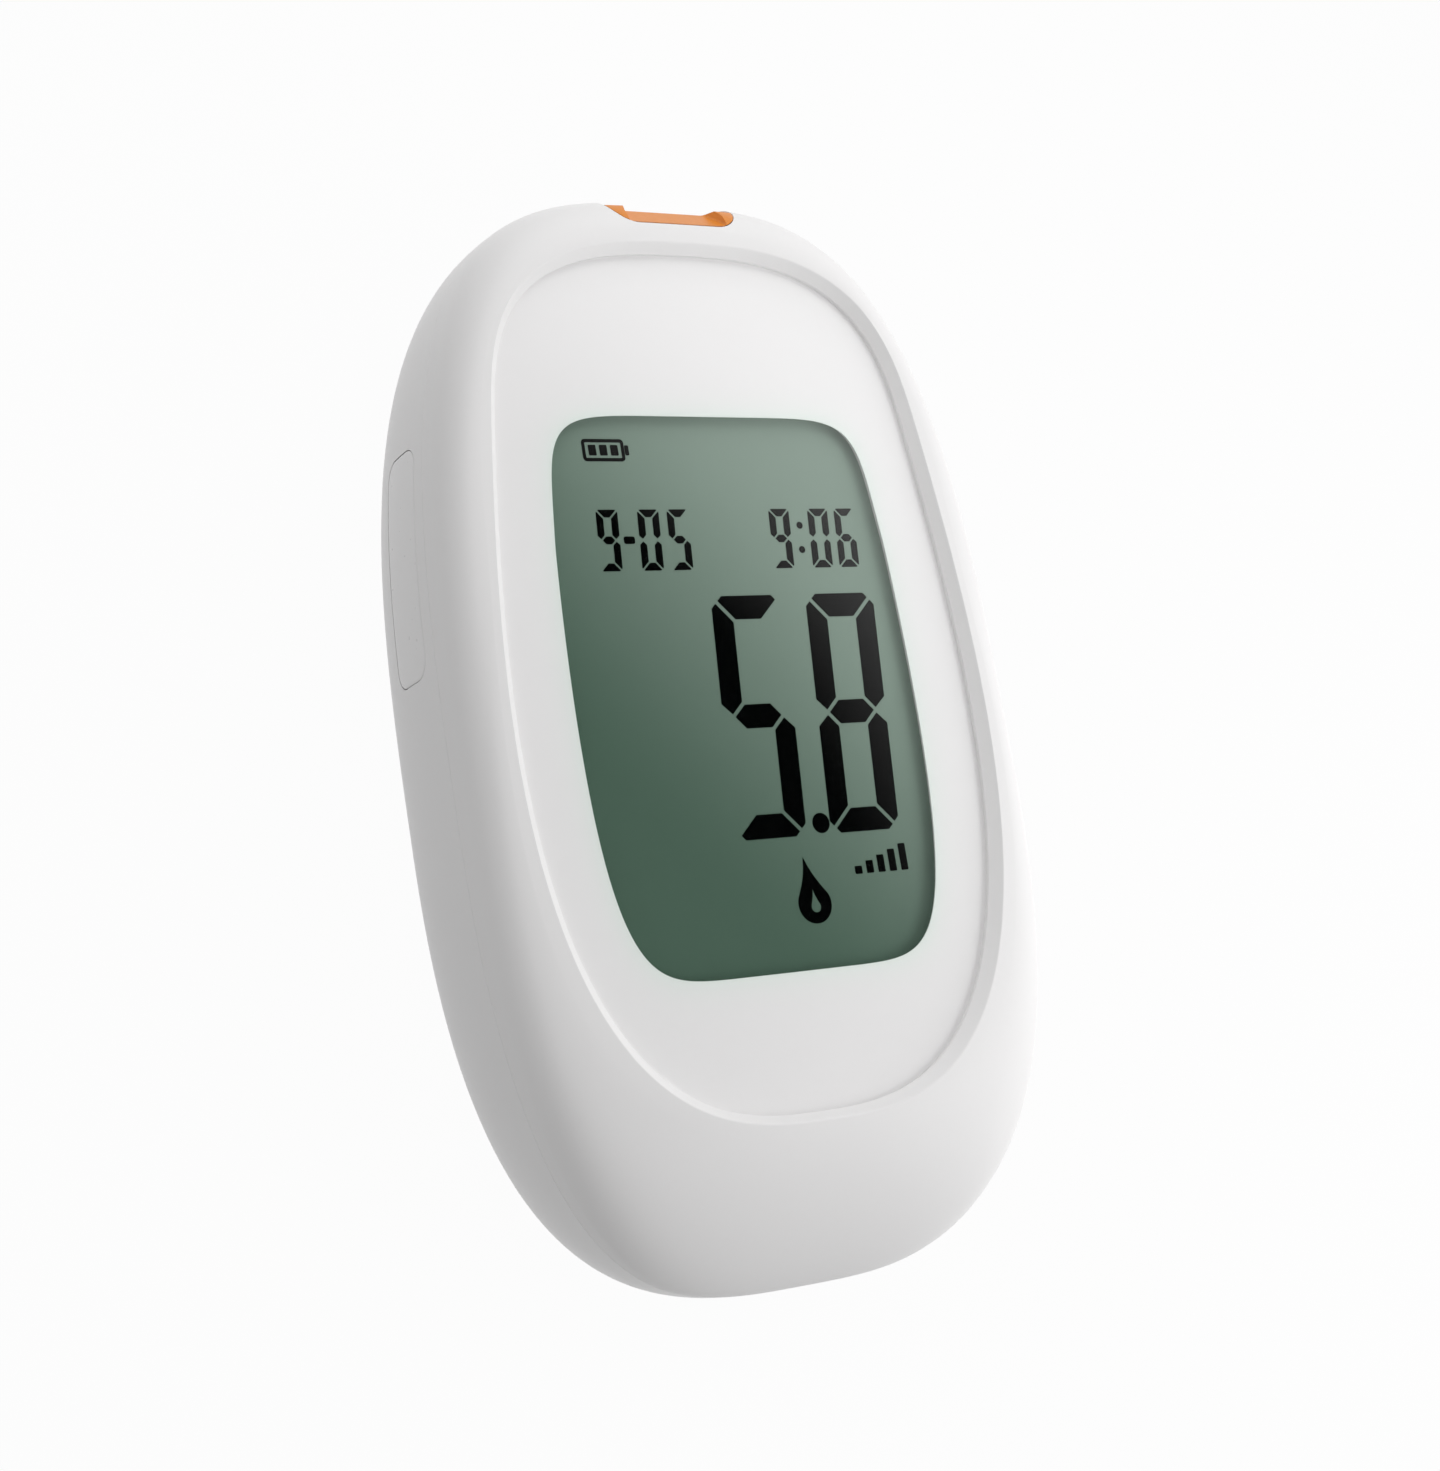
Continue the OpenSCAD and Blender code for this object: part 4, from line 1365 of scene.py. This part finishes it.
@dataclass
class BatteryBay:
    """Bay in the back, its contacts, cells and slide-off cover.

    The spring radii are those of its wide and its narrow end, and the grip is the
    length and height of the hollow that holds the cover's ribs.
    """

    cell: float = 10.5
    cell_gap: float = 0.3
    cell_side: float = 0.35
    cell_play: float = 0.15
    cell_edge: float = 0.1
    wall: float = 1.2
    chin: float = 9.85
    cover_low: float = 0.1
    cover_thick: float = 1.65
    cover_over: float = 2.0
    cover_edge: float = 0.15
    rail_wide: float = 1.0
    rail_thick: float = 0.7
    play: float = 0.12
    plate: float = 0.4
    slit: float = 1.4
    spring: float = 3.1
    wire: float = 0.3
    turns: float = 3.5
    spring_radii: tuple[float, float] = (3.5, 2.1)
    grip: tuple[float, float] = (15.0, 9.0)
    grip_corner: float = 4.49
    grip_top: float = 0.6
    grip_back: float = 9.0
    ribs: int = 5
    rib: float = 0.7
    rib_long: float = 10.0

    @property
    def half(self) -> float:
        """Half width of the bay."""
        return self.cell + self.cell_gap / 2 + self.cell_side

    @property
    def low(self) -> float:
        """Station of the bay's lower end."""
        return self.chin - BODY.half

    @property
    def high(self) -> float:
        """Station of the bay's upper end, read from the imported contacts."""
        return node_box("contact_plates")[1].y

    @property
    def floor(self) -> float:
        """Height of the cover slot's inner face."""
        return self.cover_low + self.cover_thick + self.play

    @property
    def cell_x(self) -> float:
        """How far each cell's middle lies from the meter's middle."""
        return (self.cell + self.cell_gap) / 2

    @property
    def cell_z(self) -> float:
        """Height of the cells' middle."""
        return self.floor + self.cell_play + self.cell / 2

    @property
    def cover_half(self) -> float:
        """Half width of the cover without its rails."""
        return self.half + self.cover_over

    @property
    def cover_high(self) -> float:
        """Station of the cover's upper end."""
        return node_box("battery_cover")[1].y

    def walls(self) -> list[Piece]:
        """Solids that the bay adds inside the rear shell.

        Returns:
            The box round the cells and the sill round the cover.
        """
        out, ends = self.half + self.wall, (self.low - self.wall, self.high + self.wall)
        roof = self.cell_z + self.cell / 2 + self.cell_play + self.wall
        sill = self.cover_half + self.rail_wide + self.wall
        brim = self.cover_high + self.wall
        return [
            block([-out, ends[0], BODY.root], [out, ends[1], roof]),
            block([-sill, -BODY.half, BODY.root], [sill, brim, self.floor + self.wall]),
        ]

    def cutters(self) -> list[Piece]:
        """Slot for the cover, space for the cells and slits for the contacts.

        Returns:
            The solids to cut away.
        """
        near, far = self.cover_half + self.play, self.cover_half + self.rail_wide + self.play
        start, end = -BODY.half - 2 * OVER, self.cover_high + self.play
        rail_z = self.cover_low + self.cover_thick - self.rail_thick - self.play
        under = node_box("main_board")[0].z
        found = [
            block([-near, start, -OVER], [near, end, self.floor]),
            block([-far, start, rail_z], [far, end, self.floor]),
            block([-self.half, self.low, 0], [self.half, self.high, self.cell_z]),
        ]
        for x in (-self.cell_x, self.cell_x):
            round_ = circle(x, self.cell_z, self.half - self.cell_x, 96)
            found.append(prism(round_, self.low, self.high, Axis.Y))
            slit = self.high - self.plate - BITE
            found.append(block([x - self.slit, slit, self.cell_z], [x + self.slit, self.high, under]))
        return found

    @staticmethod
    def rib_tree(material: Material) -> Tree:
        """Geometry tree of evenly spaced round ribs.

        Args:
            material: The ribs' finish.

        Returns:
            A tree with inputs Count, Pitch, Length and Radius.
        """
        tree, given = start_shape("grip_ribs", "Count", "Pitch", "Length", "Radius", whole=["Count"])
        step = add(tree, "ShaderNodeCombineXYZ", {1: given["Pitch"]})
        line = add(tree, "GeometryNodeMeshLine", {"Count": given["Count"], "Offset": step})
        ends = []
        for share in (-0.5, 0.5):
            reach = add(tree, "ShaderNodeMath", {0: given["Length"], 1: share}, operation="MULTIPLY")
            ends.append(add(tree, "ShaderNodeCombineXYZ", {0: reach}))
        spine = add(tree, "GeometryNodeCurvePrimitiveLine", {"Start": ends[0], "End": ends[1]})
        feeds = {"Resolution": 20, "Radius": given["Radius"]}
        round_ = add(tree, "GeometryNodeCurvePrimitiveCircle", feeds)
        feeds = {"Curve": spine, "Profile Curve": round_, "Fill Caps": True}
        rib = add(tree, "GeometryNodeCurveToMesh", feeds)
        many = add(tree, "GeometryNodeInstanceOnPoints", {"Points": line, "Instance": rib})
        return end_shape(tree, many, material)

    @staticmethod
    def coil_tree(material: Material) -> Tree:
        """Geometry tree of a conical coil spring.

        Args:
            material: The wire's finish.

        Returns:
            A tree with inputs Turns, Wide, Narrow, Height and Wire.
        """
        tree, given = start_shape("coil_spring", "Turns", "Wide", "Narrow", "Height", "Wire")
        path = add(tree, "GeometryNodeCurveSpiral", {
            "Resolution": 40, "Rotations": given["Turns"], "Start Radius": given["Wide"],
            "End Radius": given["Narrow"], "Height": given["Height"],
        })
        feeds = {"Resolution": 14, "Radius": given["Wire"]}
        wire = add(tree, "GeometryNodeCurvePrimitiveCircle", feeds)
        feeds = {"Curve": path, "Profile Curve": wire, "Fill Caps": True}
        return end_shape(tree, add(tree, "GeometryNodeCurveToMesh", feeds), material)

    def build_cells(self) -> None:
        """Dresses the two cells."""
        for node in ("left_cell", "right_cell"):
            low, high = node_box(node)
            finish = replace(JACKET, name=node + "_jacket", low=low.y, high=high.y)
            piece = soften(copy_of(node, node + "_dressed"), self.cell_edge)
            place(polish(piece), finish.build(), "housing", [node])

    def build_springs(self) -> None:
        """Makes the two coil springs, one at each end of the bay."""
        wide, narrow = self.spring_radii
        tree = self.coil_tree(NICKEL.build())
        values = {
            "Turns": self.turns, "Wide": wide * MM, "Narrow": narrow * MM,
            "Height": (self.spring - 2 * self.wire) * MM, "Wire": self.wire * MM,
        }
        coils = []
        for side, foot in ((-1, self.low + self.plate), (1, self.high - self.plate)):
            coil = grow("coil", tree, values)
            start = foot - side * self.wire
            for corner in coil.data.vertices:
                x, y, z = corner.co / MM
                spot = (x + side * self.cell_x, start - side * z, y * side + self.cell_z)
                corner.co = Vector(spot) * MM
            coils.append(coil)
        piece = turn_out(join("battery_springs", coils))
        place(polish(piece), NICKEL.build(), "housing", ["contact_springs"])

    def build_cover(self) -> None:
        """Makes the slide-off cover with its grip."""
        half, high, top = self.cover_half, self.cover_high, self.cover_low + self.cover_thick
        rail, rail_z = half + self.rail_wide, top - self.rail_thick
        piece = block([-half, -BODY.half, self.cover_low], [half, high, top])
        piece.name = "slide_cover"
        carve(piece, Cut.JOIN, [block([-rail, -BODY.half, rail_z], [rail, high, top])])
        carve(piece, Cut.KEEP, [BODY.envelope()])
        soften(piece, self.cover_edge, limit=50.0)
        grip_y = high - self.grip_back
        wide, tall = self.grip
        hollow = rounded_box(wide, tall, self.grip_corner, (0.0, grip_y))
        carve(piece, Cut.REMOVE, [prism(hollow, -OVER, self.grip_top)])
        ribs = grow("ribs", self.rib_tree(SHELL.build()), {
            "Count": self.ribs, "Pitch": 2 * self.rib * MM,
            "Length": self.rib_long * MM, "Radius": self.rib / 2 * MM,
        })
        first = Vector((0.0, grip_y - (self.ribs - 1) * self.rib, self.cover_low + self.rib / 2))
        for corner in ribs.data.vertices:
            corner.co += first * MM
        piece = join("slide_cover", [piece, turn_out(ribs)])
        place(polish(piece), SHELL.build(), "cover", ["battery_cover"])

    def build(self) -> None:
        """Dresses the cells and makes the springs and the cover."""
        self.build_cells()
        self.build_springs()
        self.build_cover()


@dataclass
class Shells:
    """Front and rear shell, lofted from the body's surfaces.

    A post stands under each side of the board, at a distance from its edges, and
    the back has a ring just inside its edge, as shares of that edge.
    """

    port: StripPort
    key: SideKey
    screws: Screws
    bay: BatteryBay
    seam_round: float = 0.05
    rim_round: float = 0.16
    margin: float = 0.5
    pad: float = 1.0
    pad_short: float = 0.4
    key_gap: float = 0.06
    tongue_gap: float = 0.06
    tongue_short: float = 0.05
    bones_in: float = 0.4
    post: float = 1.8
    post_from: Point = (4.3, 35.6)
    back_ring: tuple[float, float, float] = (0.99, 0.994, 1.0)

    def build_front(self) -> None:
        """Makes the front shell: shoulder, rim, recess, aperture and inner wall."""
        b = BODY
        inside = b.seam_ring(b.lip_thick, 0)
        foot = lift(b.panel.at(TURNS), b.panel_z)
        opening = b.window.at(TURNS, self.margin)
        rings = rounded_corner(inside, b.shoulder(90), b.shoulder(82), self.seam_round)
        rings += [b.shoulder(t) for t in range(82, 7, -3)]
        rings += [b.shoulder(8)]
        rings += rounded_corner(b.shoulder(8), b.shoulder(0), foot, self.rim_round)
        rings += [
            foot,
            lift(b.panel.at(TURNS), b.recess_z),
            lift(opening, b.recess_z),
            lift(opening, b.face_z),
            lift(b.panel.at(TURNS, -b.rim_wide), b.face_z),
        ]
        rings += [b.front_ring(t, b.wall, -b.rim_wide, b.face_z, b.lip_high) for t in (20, 40, 60, 75, 90)]
        rings += [b.seam_ring(b.lip_thick, b.lip_high), inside]
        piece = loft("front_case", rings, loop=True)
        carve(piece, Cut.JOIN, self.screws.columns())
        carve(piece, Cut.REMOVE, self.screws.bores() + self.port.cutters())
        place(polish(piece), SHELL.build(), "housing", ["front_shell"])

    def bones(self) -> Piece:
        """Bay, screw towers, posts and key pad, clipped to the inside of the shell.

        Returns:
            One solid to join to the rear shell.
        """
        board_low, board_high = node_box("main_board")
        x, y = board_high.x - self.post_from[0], board_low.y + self.post_from[1]
        added = self.bay.walls() + self.screws.towers()
        added += [prism(circle(s * x, y, self.post), BODY.root, board_low.z) for s in (-1, 1)]
        y, z = self.key.middle
        long = self.key.length / 2 + self.key.flange + self.pad
        tall = self.key.height / 2 + self.key.flange + self.pad
        seat = self.key.inner_x - self.key.flange_thick - self.key_gap
        top = z + tall - self.pad_short
        added.append(block([-BODY.width / 2, y - long, z - tall], [seat, y + long, top]))
        return carve(join("bones", added), Cut.KEEP, [BODY.envelope(self.bones_in)])

    def build_rear(self) -> None:
        """Makes the rear shell: back, flank, tongue, bay, wells and openings."""
        b = BODY
        tongue, top = b.lip_thick + self.tongue_gap, b.lip_high - self.tongue_short
        seam, inside = b.rear_ring(0, rise=-b.seam_gap), b.seam_ring(tongue, -b.seam_gap)
        rings = [b.rear_ring(90) * self.back_ring]
        rings += [b.rear_ring(t) for t in range(90, 5, -4)]
        rings += rounded_corner(b.rear_ring(6), seam, inside, self.seam_round)
        rings += [inside, b.seam_ring(tongue, top), b.seam_ring(b.wall, top)]
        rings += [b.rear_ring(t, b.wall, b.back_thick) for t in (15, 30, 45, 60, 75, 90)]
        piece = loft("rear_case", rings)
        carve(piece, Cut.JOIN, [self.bones()])
        tools = self.bay.cutters() + self.screws.wells() + self.port.cutters() + [self.key.cutter()]
        carve(piece, Cut.REMOVE, tools)
        place(polish(piece), SHELL.build(), "housing", ["rear_shell"])

    def build(self) -> None:
        """Makes both shells."""
        self.build_front()
        self.build_rear()


# ------------------------------------------------------------ panel, display


@dataclass
class FacePanel:
    """Clear panel with the white film printed on its back.

    Both run a little into the wall of the recess, so that no light shows there.
    """

    into: float = 0.015
    edge: float = 0.03
    land: float = 1.0
    air: float = 0.004
    rows: int = 25
    crowding: float = 1.8
    # Width and strength of the print's painted glow near the window.
    painted_glow_reach: float = 1.0
    painted_glow_strength: float = 0.55

    def build_lens(self) -> None:
        """Makes the clear sheet with a softened front edge."""
        panel, high = BODY.panel, BODY.panel_z
        low = high - BODY.lens_thick
        outline, inner = panel.at(TURNS, self.into), panel.at(TURNS, self.into - self.land)
        below, across = lift(outline, low), lift(inner, high)
        rings = [lift(inner, low), below]
        rings += rounded_corner(below, lift(outline, high), across, self.edge)
        piece = loft("clear_panel", rings + [across])
        place(polish(piece), PANEL.build(), "housing", ["display_lens"])

    def build_print(self) -> None:
        """Makes the printed film, with the strength of its painted glow stored on it."""
        low = BODY.recess_z + BODY.film_thick
        high = low + BODY.film_thick - self.air
        edge, rim = BODY.window.at(TURNS), BODY.panel.at(TURNS, self.into)
        flat = [edge + (rim - edge) * s for s in np.linspace(0.0, 1.0, self.rows) ** self.crowding]
        rings = [lift(p, high) for p in flat] + [lift(p, low) for p in reversed(flat)]
        piece = loft("panel_print", rings, loop=True)
        painted_glow = piece.data.attributes.new("painted_glow", "FLOAT", "POINT")
        spots = np.array([v.co[:2] for v in piece.data.vertices]) / MM
        away = np.array([np.min(np.hypot(*(edge - spot).T)) for spot in spots])
        # Painted glow: the print's mint tint fades with distance from the window.
        tint = self.painted_glow_strength * np.exp(-away / self.painted_glow_reach)
        painted_glow.data.foreach_set("value", tint.astype(np.float32))
        place(polish(piece), PRINT.build(), "housing", ["printed_film"])

    def build(self) -> None:
        """Makes the sheet and its print."""
        self.build_print()
        self.build_lens()


SEGMENTS = {"0": "abcdef", "5": "acdfg", "6": "acdefg", "8": "abcdefg", "9": "abcdfg"}


@dataclass(frozen=True)
class Digit:
    """One seven-segment figure, with mitred bars and a slant.

    The outer gap is a share of the gap, left at the outer end of an upright bar.
    """

    figure: str
    at: Point
    width: float = 7.4
    height: float = 21.6
    bar: float = 2.12
    gap: float = 0.36
    chamfer: float = 1.1
    outer_gap: float = 0.6
    slant: float = 0.07

    def bars(self) -> dict[str, list[Point]]:
        """Outlines of the seven bars round the figure's middle.

        Returns:
            Points for each bar's letter.
        """
        w, h, t = self.width / 2, self.height / 2, self.bar
        c, g = self.chamfer, self.gap / math.sqrt(2)
        top = [
            (-w + c, h), (w - c, h), (w - (g + c) / 2, h + (g - c) / 2),
            (w - t - g, h - t), (-w + t + g, h - t), (-w + (g + c) / 2, h + (g - c) / 2),
        ]
        upper = [
            (w, h - c), (w - (c - g) / 2, h - (c + g) / 2), (w - t, h - t - g),
            (w - t, t / 2 + g), (w - t / 2, g), (w, t / 2 + g * self.outer_gap),
        ]
        middle = [
            (-w + t / 2 + g, 0), (-w + t + g, t / 2), (w - t - g, t / 2),
            (w - t / 2 - g, 0), (w - t - g, -t / 2), (-w + t + g, -t / 2),
        ]
        return {
            "a": top,
            "b": upper,
            "c": [(x, -y) for x, y in upper],
            "d": [(x, -y) for x, y in top],
            "e": [(-x, -y) for x, y in upper],
            "f": [(-x, y) for x, y in upper],
            "g": middle,
        }

    def outlines(self) -> list[np.ndarray]:
        """The bars that the figure lights, leant over and in place.

        Returns:
            Rows of x and y for each bar.
        """
        bars = self.bars()
        shapes = []
        for letter in SEGMENTS[self.figure]:
            flat = np.array(bars[letter])
            flat[:, 0] += self.slant * flat[:, 1]
            shapes.append(flat + np.array(self.at))
        return shapes


@dataclass(frozen=True)
class Drop:
    """Drop sign: a round end, and a tip over it that leans to one side."""

    x: float
    y: float
    radius: float
    tip: float
    lean: float
    swell: float = 0.12

    def outline(self) -> np.ndarray:
        """The drop's edge.

        Returns:
            Rows of x and y, starting at the tip.
        """
        turn = np.radians(np.linspace(150.0, 390.0, 33))
        arc = np.array([self.x, self.y]) + self.radius * np.column_stack([np.cos(turn), np.sin(turn)])
        tip = np.array([self.x + self.lean, self.y + self.tip])
        share = np.array([[0.0], [0.25], [0.5], [0.75]])
        swell = np.hstack([self.swell * self.radius * np.sin(share * math.pi), 0 * share])
        left = tip + (arc[0] - tip) * share + swell
        right = tip + (arc[-1] - tip) * share - swell
        return np.vstack([left, arc, right[:0:-1]])


@dataclass
class Display:
    """Segment display: the figures and signs that it shows.

    Figures are given with their x.  The small ones share their width, height,
    bar, gap and chamfer, and a dot is given with its x, y, radius and corners.
    """

    thick: float = 0.03
    reading_y: float = 0.45
    reading: tuple[tuple[str, float], ...] = (("5", 1.12), ("8", 11.1))
    small: tuple[float, ...] = (2.15, 5.45, 0.68, 0.18, 0.26)
    date_y: float = 16.4
    date: tuple[tuple[str, float], ...] = (
        ("9", -11.15), ("0", -7.0), ("5", -4.0), ("9", 6.65), ("0", 10.85), ("6", 13.75),
    )
    dots: tuple[tuple[float, float, float, int], ...] = (
        (5.75, -9.35, 0.9, 24), (8.86, 17.6, 0.33, 12), (8.7, 15.35, 0.33, 12),
    )
    dash: tuple[float, float, float] = (1.1, 0.66, 0.2)
    dash_x: float = -9.12
    drop: tuple[Drop, Drop] = (
        Drop(3.72, -16.35, 1.72, 4.15, -0.5), Drop(3.8, -16.6, 0.5, 1.6, -0.12),
    )
    battery: tuple[float, float] = (4.2, 2.0)
    battery_at: Point = (-10.3, 24.45)
    battery_wall: float = 0.3
    battery_corners: tuple[float, float] = (0.35, 0.1)
    nub: tuple[float, float, float] = (0.4, 0.9, 0.1)
    nub_off: float = 0.25
    charges: int = 3
    charge_tall: float = 0.95
    charge_pitch: float = 1.1
    levels: int = 5
    level_at: Point = (8.9, -14.1)
    level_tall: float = 0.7
    level_rise: float = 0.42
    level_pitch: float = 1.25
    bar: float = 0.75
    bar_corner: float = 0.08

    def figures(self) -> list[np.ndarray]:
        """The reading, the date and the hour, with their points.

        Returns:
            Rows of x and y for each mark.
        """
        digits = [Digit(figure, (x, self.reading_y)) for figure, x in self.reading]
        digits += [Digit(figure, (x, self.date_y), *self.small) for figure, x in self.date]
        shapes = [bar for digit in digits for bar in digit.outlines()]
        shapes += [circle(*dot) for dot in self.dots]
        shapes.append(rounded_box(*self.dash, (self.dash_x, self.date_y)))
        return shapes

    def signs(self) -> list[np.ndarray]:
        """The battery's nub and charge, and the rising level bars.

        Returns:
            Rows of x and y for each mark.
        """
        x, y = self.battery_at
        shapes = [rounded_box(*self.nub, (x + self.battery[0] / 2 + self.nub_off, y))]
        for k in range(self.charges):
            at = (x + (k - (self.charges - 1) / 2) * self.charge_pitch, y)
            shapes.append(rounded_box(self.bar, self.charge_tall, self.bar_corner, at))
        x, y = self.level_at
        for k in range(self.levels):
            tall = self.level_tall + self.level_rise * k
            at = (x + self.level_pitch * k, y + tall / 2)
            shapes.append(rounded_box(self.bar, tall, self.bar_corner, at))
        return shapes

    def rims(self) -> list[tuple[np.ndarray, np.ndarray]]:
        """Outlines of the hollow signs: the drop and the battery.

        Returns:
            The outer and the inner outline of each.
        """
        (wide, tall), (outer, inner) = self.battery, self.battery_corners
        shrink = 2 * self.battery_wall
        return [
            (self.drop[0].outline(), self.drop[1].outline()),
            (
                rounded_box(wide, tall, outer, self.battery_at),
                rounded_box(wide - shrink, tall - shrink, inner, self.battery_at),
            ),
        ]

    def build(self) -> None:
        """Makes the marks as thin plates on the film."""
        low = node_box("front_polariser")[1].z
        high = low + self.thick
        plates = [prism(shape, low, high) for shape in self.figures() + self.signs()]
        for outer, inner in self.rims():
            rings = [lift(outer, low), lift(outer, high), lift(inner, high), lift(inner, low)]
            plates.append(loft("rim", rings, loop=True))
        piece = turn_out(join("display_marks", plates))
        place(polish(piece), MARK.build(), "housing")


# --------------------------------------------------------- remaining pieces


@dataclass
class Inside:
    """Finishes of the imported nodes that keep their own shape."""

    finishes: dict[Finish, tuple[str, ...]] = field(default_factory=lambda: {
        TAPE: ("lens_tape",),
        FILM: ("front_polariser", "rear_reflector"),
        GLASS: ("front_glass", "rear_glass"),
        FRAME: ("display_frame", "switch_stem", "strip_connector"),
        ZEBRA: ("zebra_connector",),
        BOARD: ("main_board",),
        BLACK: ("processor", "buzzer", "switch_body"),
        NICKEL: ("crystal", "contact_plates", "contact_bridge"),
        CERAMIC: ("capacitors",),
        GOLD: ("strip_contacts",),
    })

    def build(self) -> None:
        """Gives each node its finish."""
        for finish, nodes in self.finishes.items():
            material = finish.build()
            for node in nodes:
                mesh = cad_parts[node].data
                mesh.materials.clear()
                mesh.materials.append(material)
                LOG.info("%s: %s", node, finish.name)


# -------------------------------------------------------------------- studio


@dataclass(frozen=True)
class Lamp:
    """Square soft lamp that faces the object and shows in no reflection.

    Angles are in degrees, sizes in millimetres and the power in watts.
    """

    name: str
    azimuth: float
    elevation: float
    away: float
    size: float
    power: float

    def hang(self) -> None:
        """Makes the lamp."""
        turn, rise = math.radians(self.azimuth), math.radians(self.elevation)
        flat = math.cos(rise)
        towards = Vector((math.cos(turn) * flat, math.sin(turn) * flat, math.sin(rise)))
        data = bpy.data.lights.new(self.name, "AREA")
        data.size = self.size * MM
        data.energy = self.power
        lamp = linked(self.name, data)
        lamp.location = towards * self.away * MM
        lamp.rotation_euler = (-towards).to_track_quat("-Z", "Y").to_euler()
        lamp.visible_camera = lamp.visible_glossy = lamp.visible_transmission = False


@dataclass
class Studio:
    """Camera, pale floor and soft light.

    The camera turns by degrees.  The room's levels are what matt surfaces get, what
    smooth ones mirror, and what they mirror in its dark patch, whose direction and
    edges, as cosines from there, are given too.
    """

    camera_at: tuple[float, float, float] = (-134.13, -39.57, 216.83)
    camera_turn: tuple[float, float, float] = (15.019, -31.507, -10.798)
    sensor: float = 36.0
    focal: float = 68.525
    floor: float = 6000.0
    floor_low: float = -4.0
    floor_high: float = -0.02
    floor_colour: str = "#B4B4B4"
    lifted: float = 0.965
    sky: float = 0.362
    mirrored_sky: float = 1.0
    dark_sky: float = 0.0
    dark_towards: tuple[float, float, float] = (0.36, 0.05, 0.932)
    dark_edges: tuple[float, float] = (0.936, 0.966)
    lamps: tuple[Lamp, ...] = (
        Lamp("overhead", 40.0, 52.0, 170.0, 170.0, 0.03),
        Lamp("top_end", 88.0, 35.0, 170.0, 170.0, 0.12),
        Lamp("right", 337.0, 35.0, 170.0, 170.0, 0.1942),
        Lamp("left", 180.0, 15.0, 300.0, 240.0, 0.132),
    )

    def build_camera(self) -> None:
        """Places the camera."""
        data = bpy.data.cameras.new("view")
        data.sensor_width = self.sensor
        data.lens = self.focal
        data.clip_start = 0.01
        data.clip_end = 20.0
        camera = linked("view", data)
        camera.location = [v * MM for v in self.camera_at]
        camera.rotation_euler = [math.radians(v) for v in self.camera_turn]
        bpy.context.scene.camera = camera

    def build_floor(self) -> None:
        """Lays the floor, which a viewer sees as nearly white."""
        piece = prism(circle(0.0, 0.0, self.floor / 2), self.floor_low, self.floor_high)
        piece.name = "floor"
        material = bpy.data.materials.new("pale_floor")
        tree = empty_tree(material)
        seen = rays(tree, "Is Camera Ray", "Is Glossy Ray", "Is Transmission Ray")
        share = add(tree, "ShaderNodeMath", {0: seen, 1: self.lifted}, operation="MULTIPLY")
        plain = add(tree, "ShaderNodeBsdfDiffuse", {0: linear(self.floor_colour)})
        white = add(tree, "ShaderNodeEmission", {0: linear("#FFFFFF"), 1: 1.0})
        mix = add(tree, "ShaderNodeMixShader", {0: share, 1: plain, 2: white})
        add(tree, "ShaderNodeOutputMaterial", {0: mix})
        piece.data.materials.append(material)

    def build_sky(self) -> None:
        """Lights the room evenly; smooth surfaces mirror it as white, but for a dark patch."""
        world = bpy.data.worlds.new("room")
        bpy.context.scene.world = world
        tree = empty_tree(world)
        way = add(tree, "ShaderNodeTexCoord").outputs["Generated"]
        patch = tuple(Vector(self.dark_towards).normalized())
        near = add(tree, "ShaderNodeVectorMath", {0: way, 1: patch}, operation="DOT_PRODUCT")
        start, end = self.dark_edges
        mirrored = add(
            tree, "ShaderNodeMapRange",
            {0: near.outputs["Value"], 1: start, 2: end, 3: self.mirrored_sky, 4: self.dark_sky},
            interpolation_type="SMOOTHSTEP",
        )
        smooth, seen = rays(tree, "Is Glossy Ray", "Is Transmission Ray"), rays(tree, "Is Camera Ray")
        level = self.sky
        for share, other in ((smooth, mirrored), (seen, 1.0)):
            level = add(tree, "ShaderNodeMix", {0: share, 2: level, 3: other}, data_type="FLOAT")
        light = add(tree, "ShaderNodeBackground", {0: linear("#FFFFFF"), 1: level})
        add(tree, "ShaderNodeOutputWorld", {0: light})

    def build(self) -> None:
        """Sets up the whole studio."""
        bpy.context.scene.view_settings.view_transform = "Standard"
        self.build_camera()
        self.build_floor()
        self.build_sky()
        for lamp in self.lamps:
            lamp.hang()


def main() -> None:
    """Builds the studio and every dressed piece, in order."""
    logging.basicConfig(level=logging.INFO, format="%(name)s %(message)s")
    Studio().build()
    port, key, screws, bay = StripPort(), SideKey(), Screws(), BatteryBay()
    shells = Shells(port, key, screws, bay)
    for part in (shells, port, key, screws, bay, FacePanel(), Display(), Inside()):
        part.build()


if __name__ == "__main__":
    main()
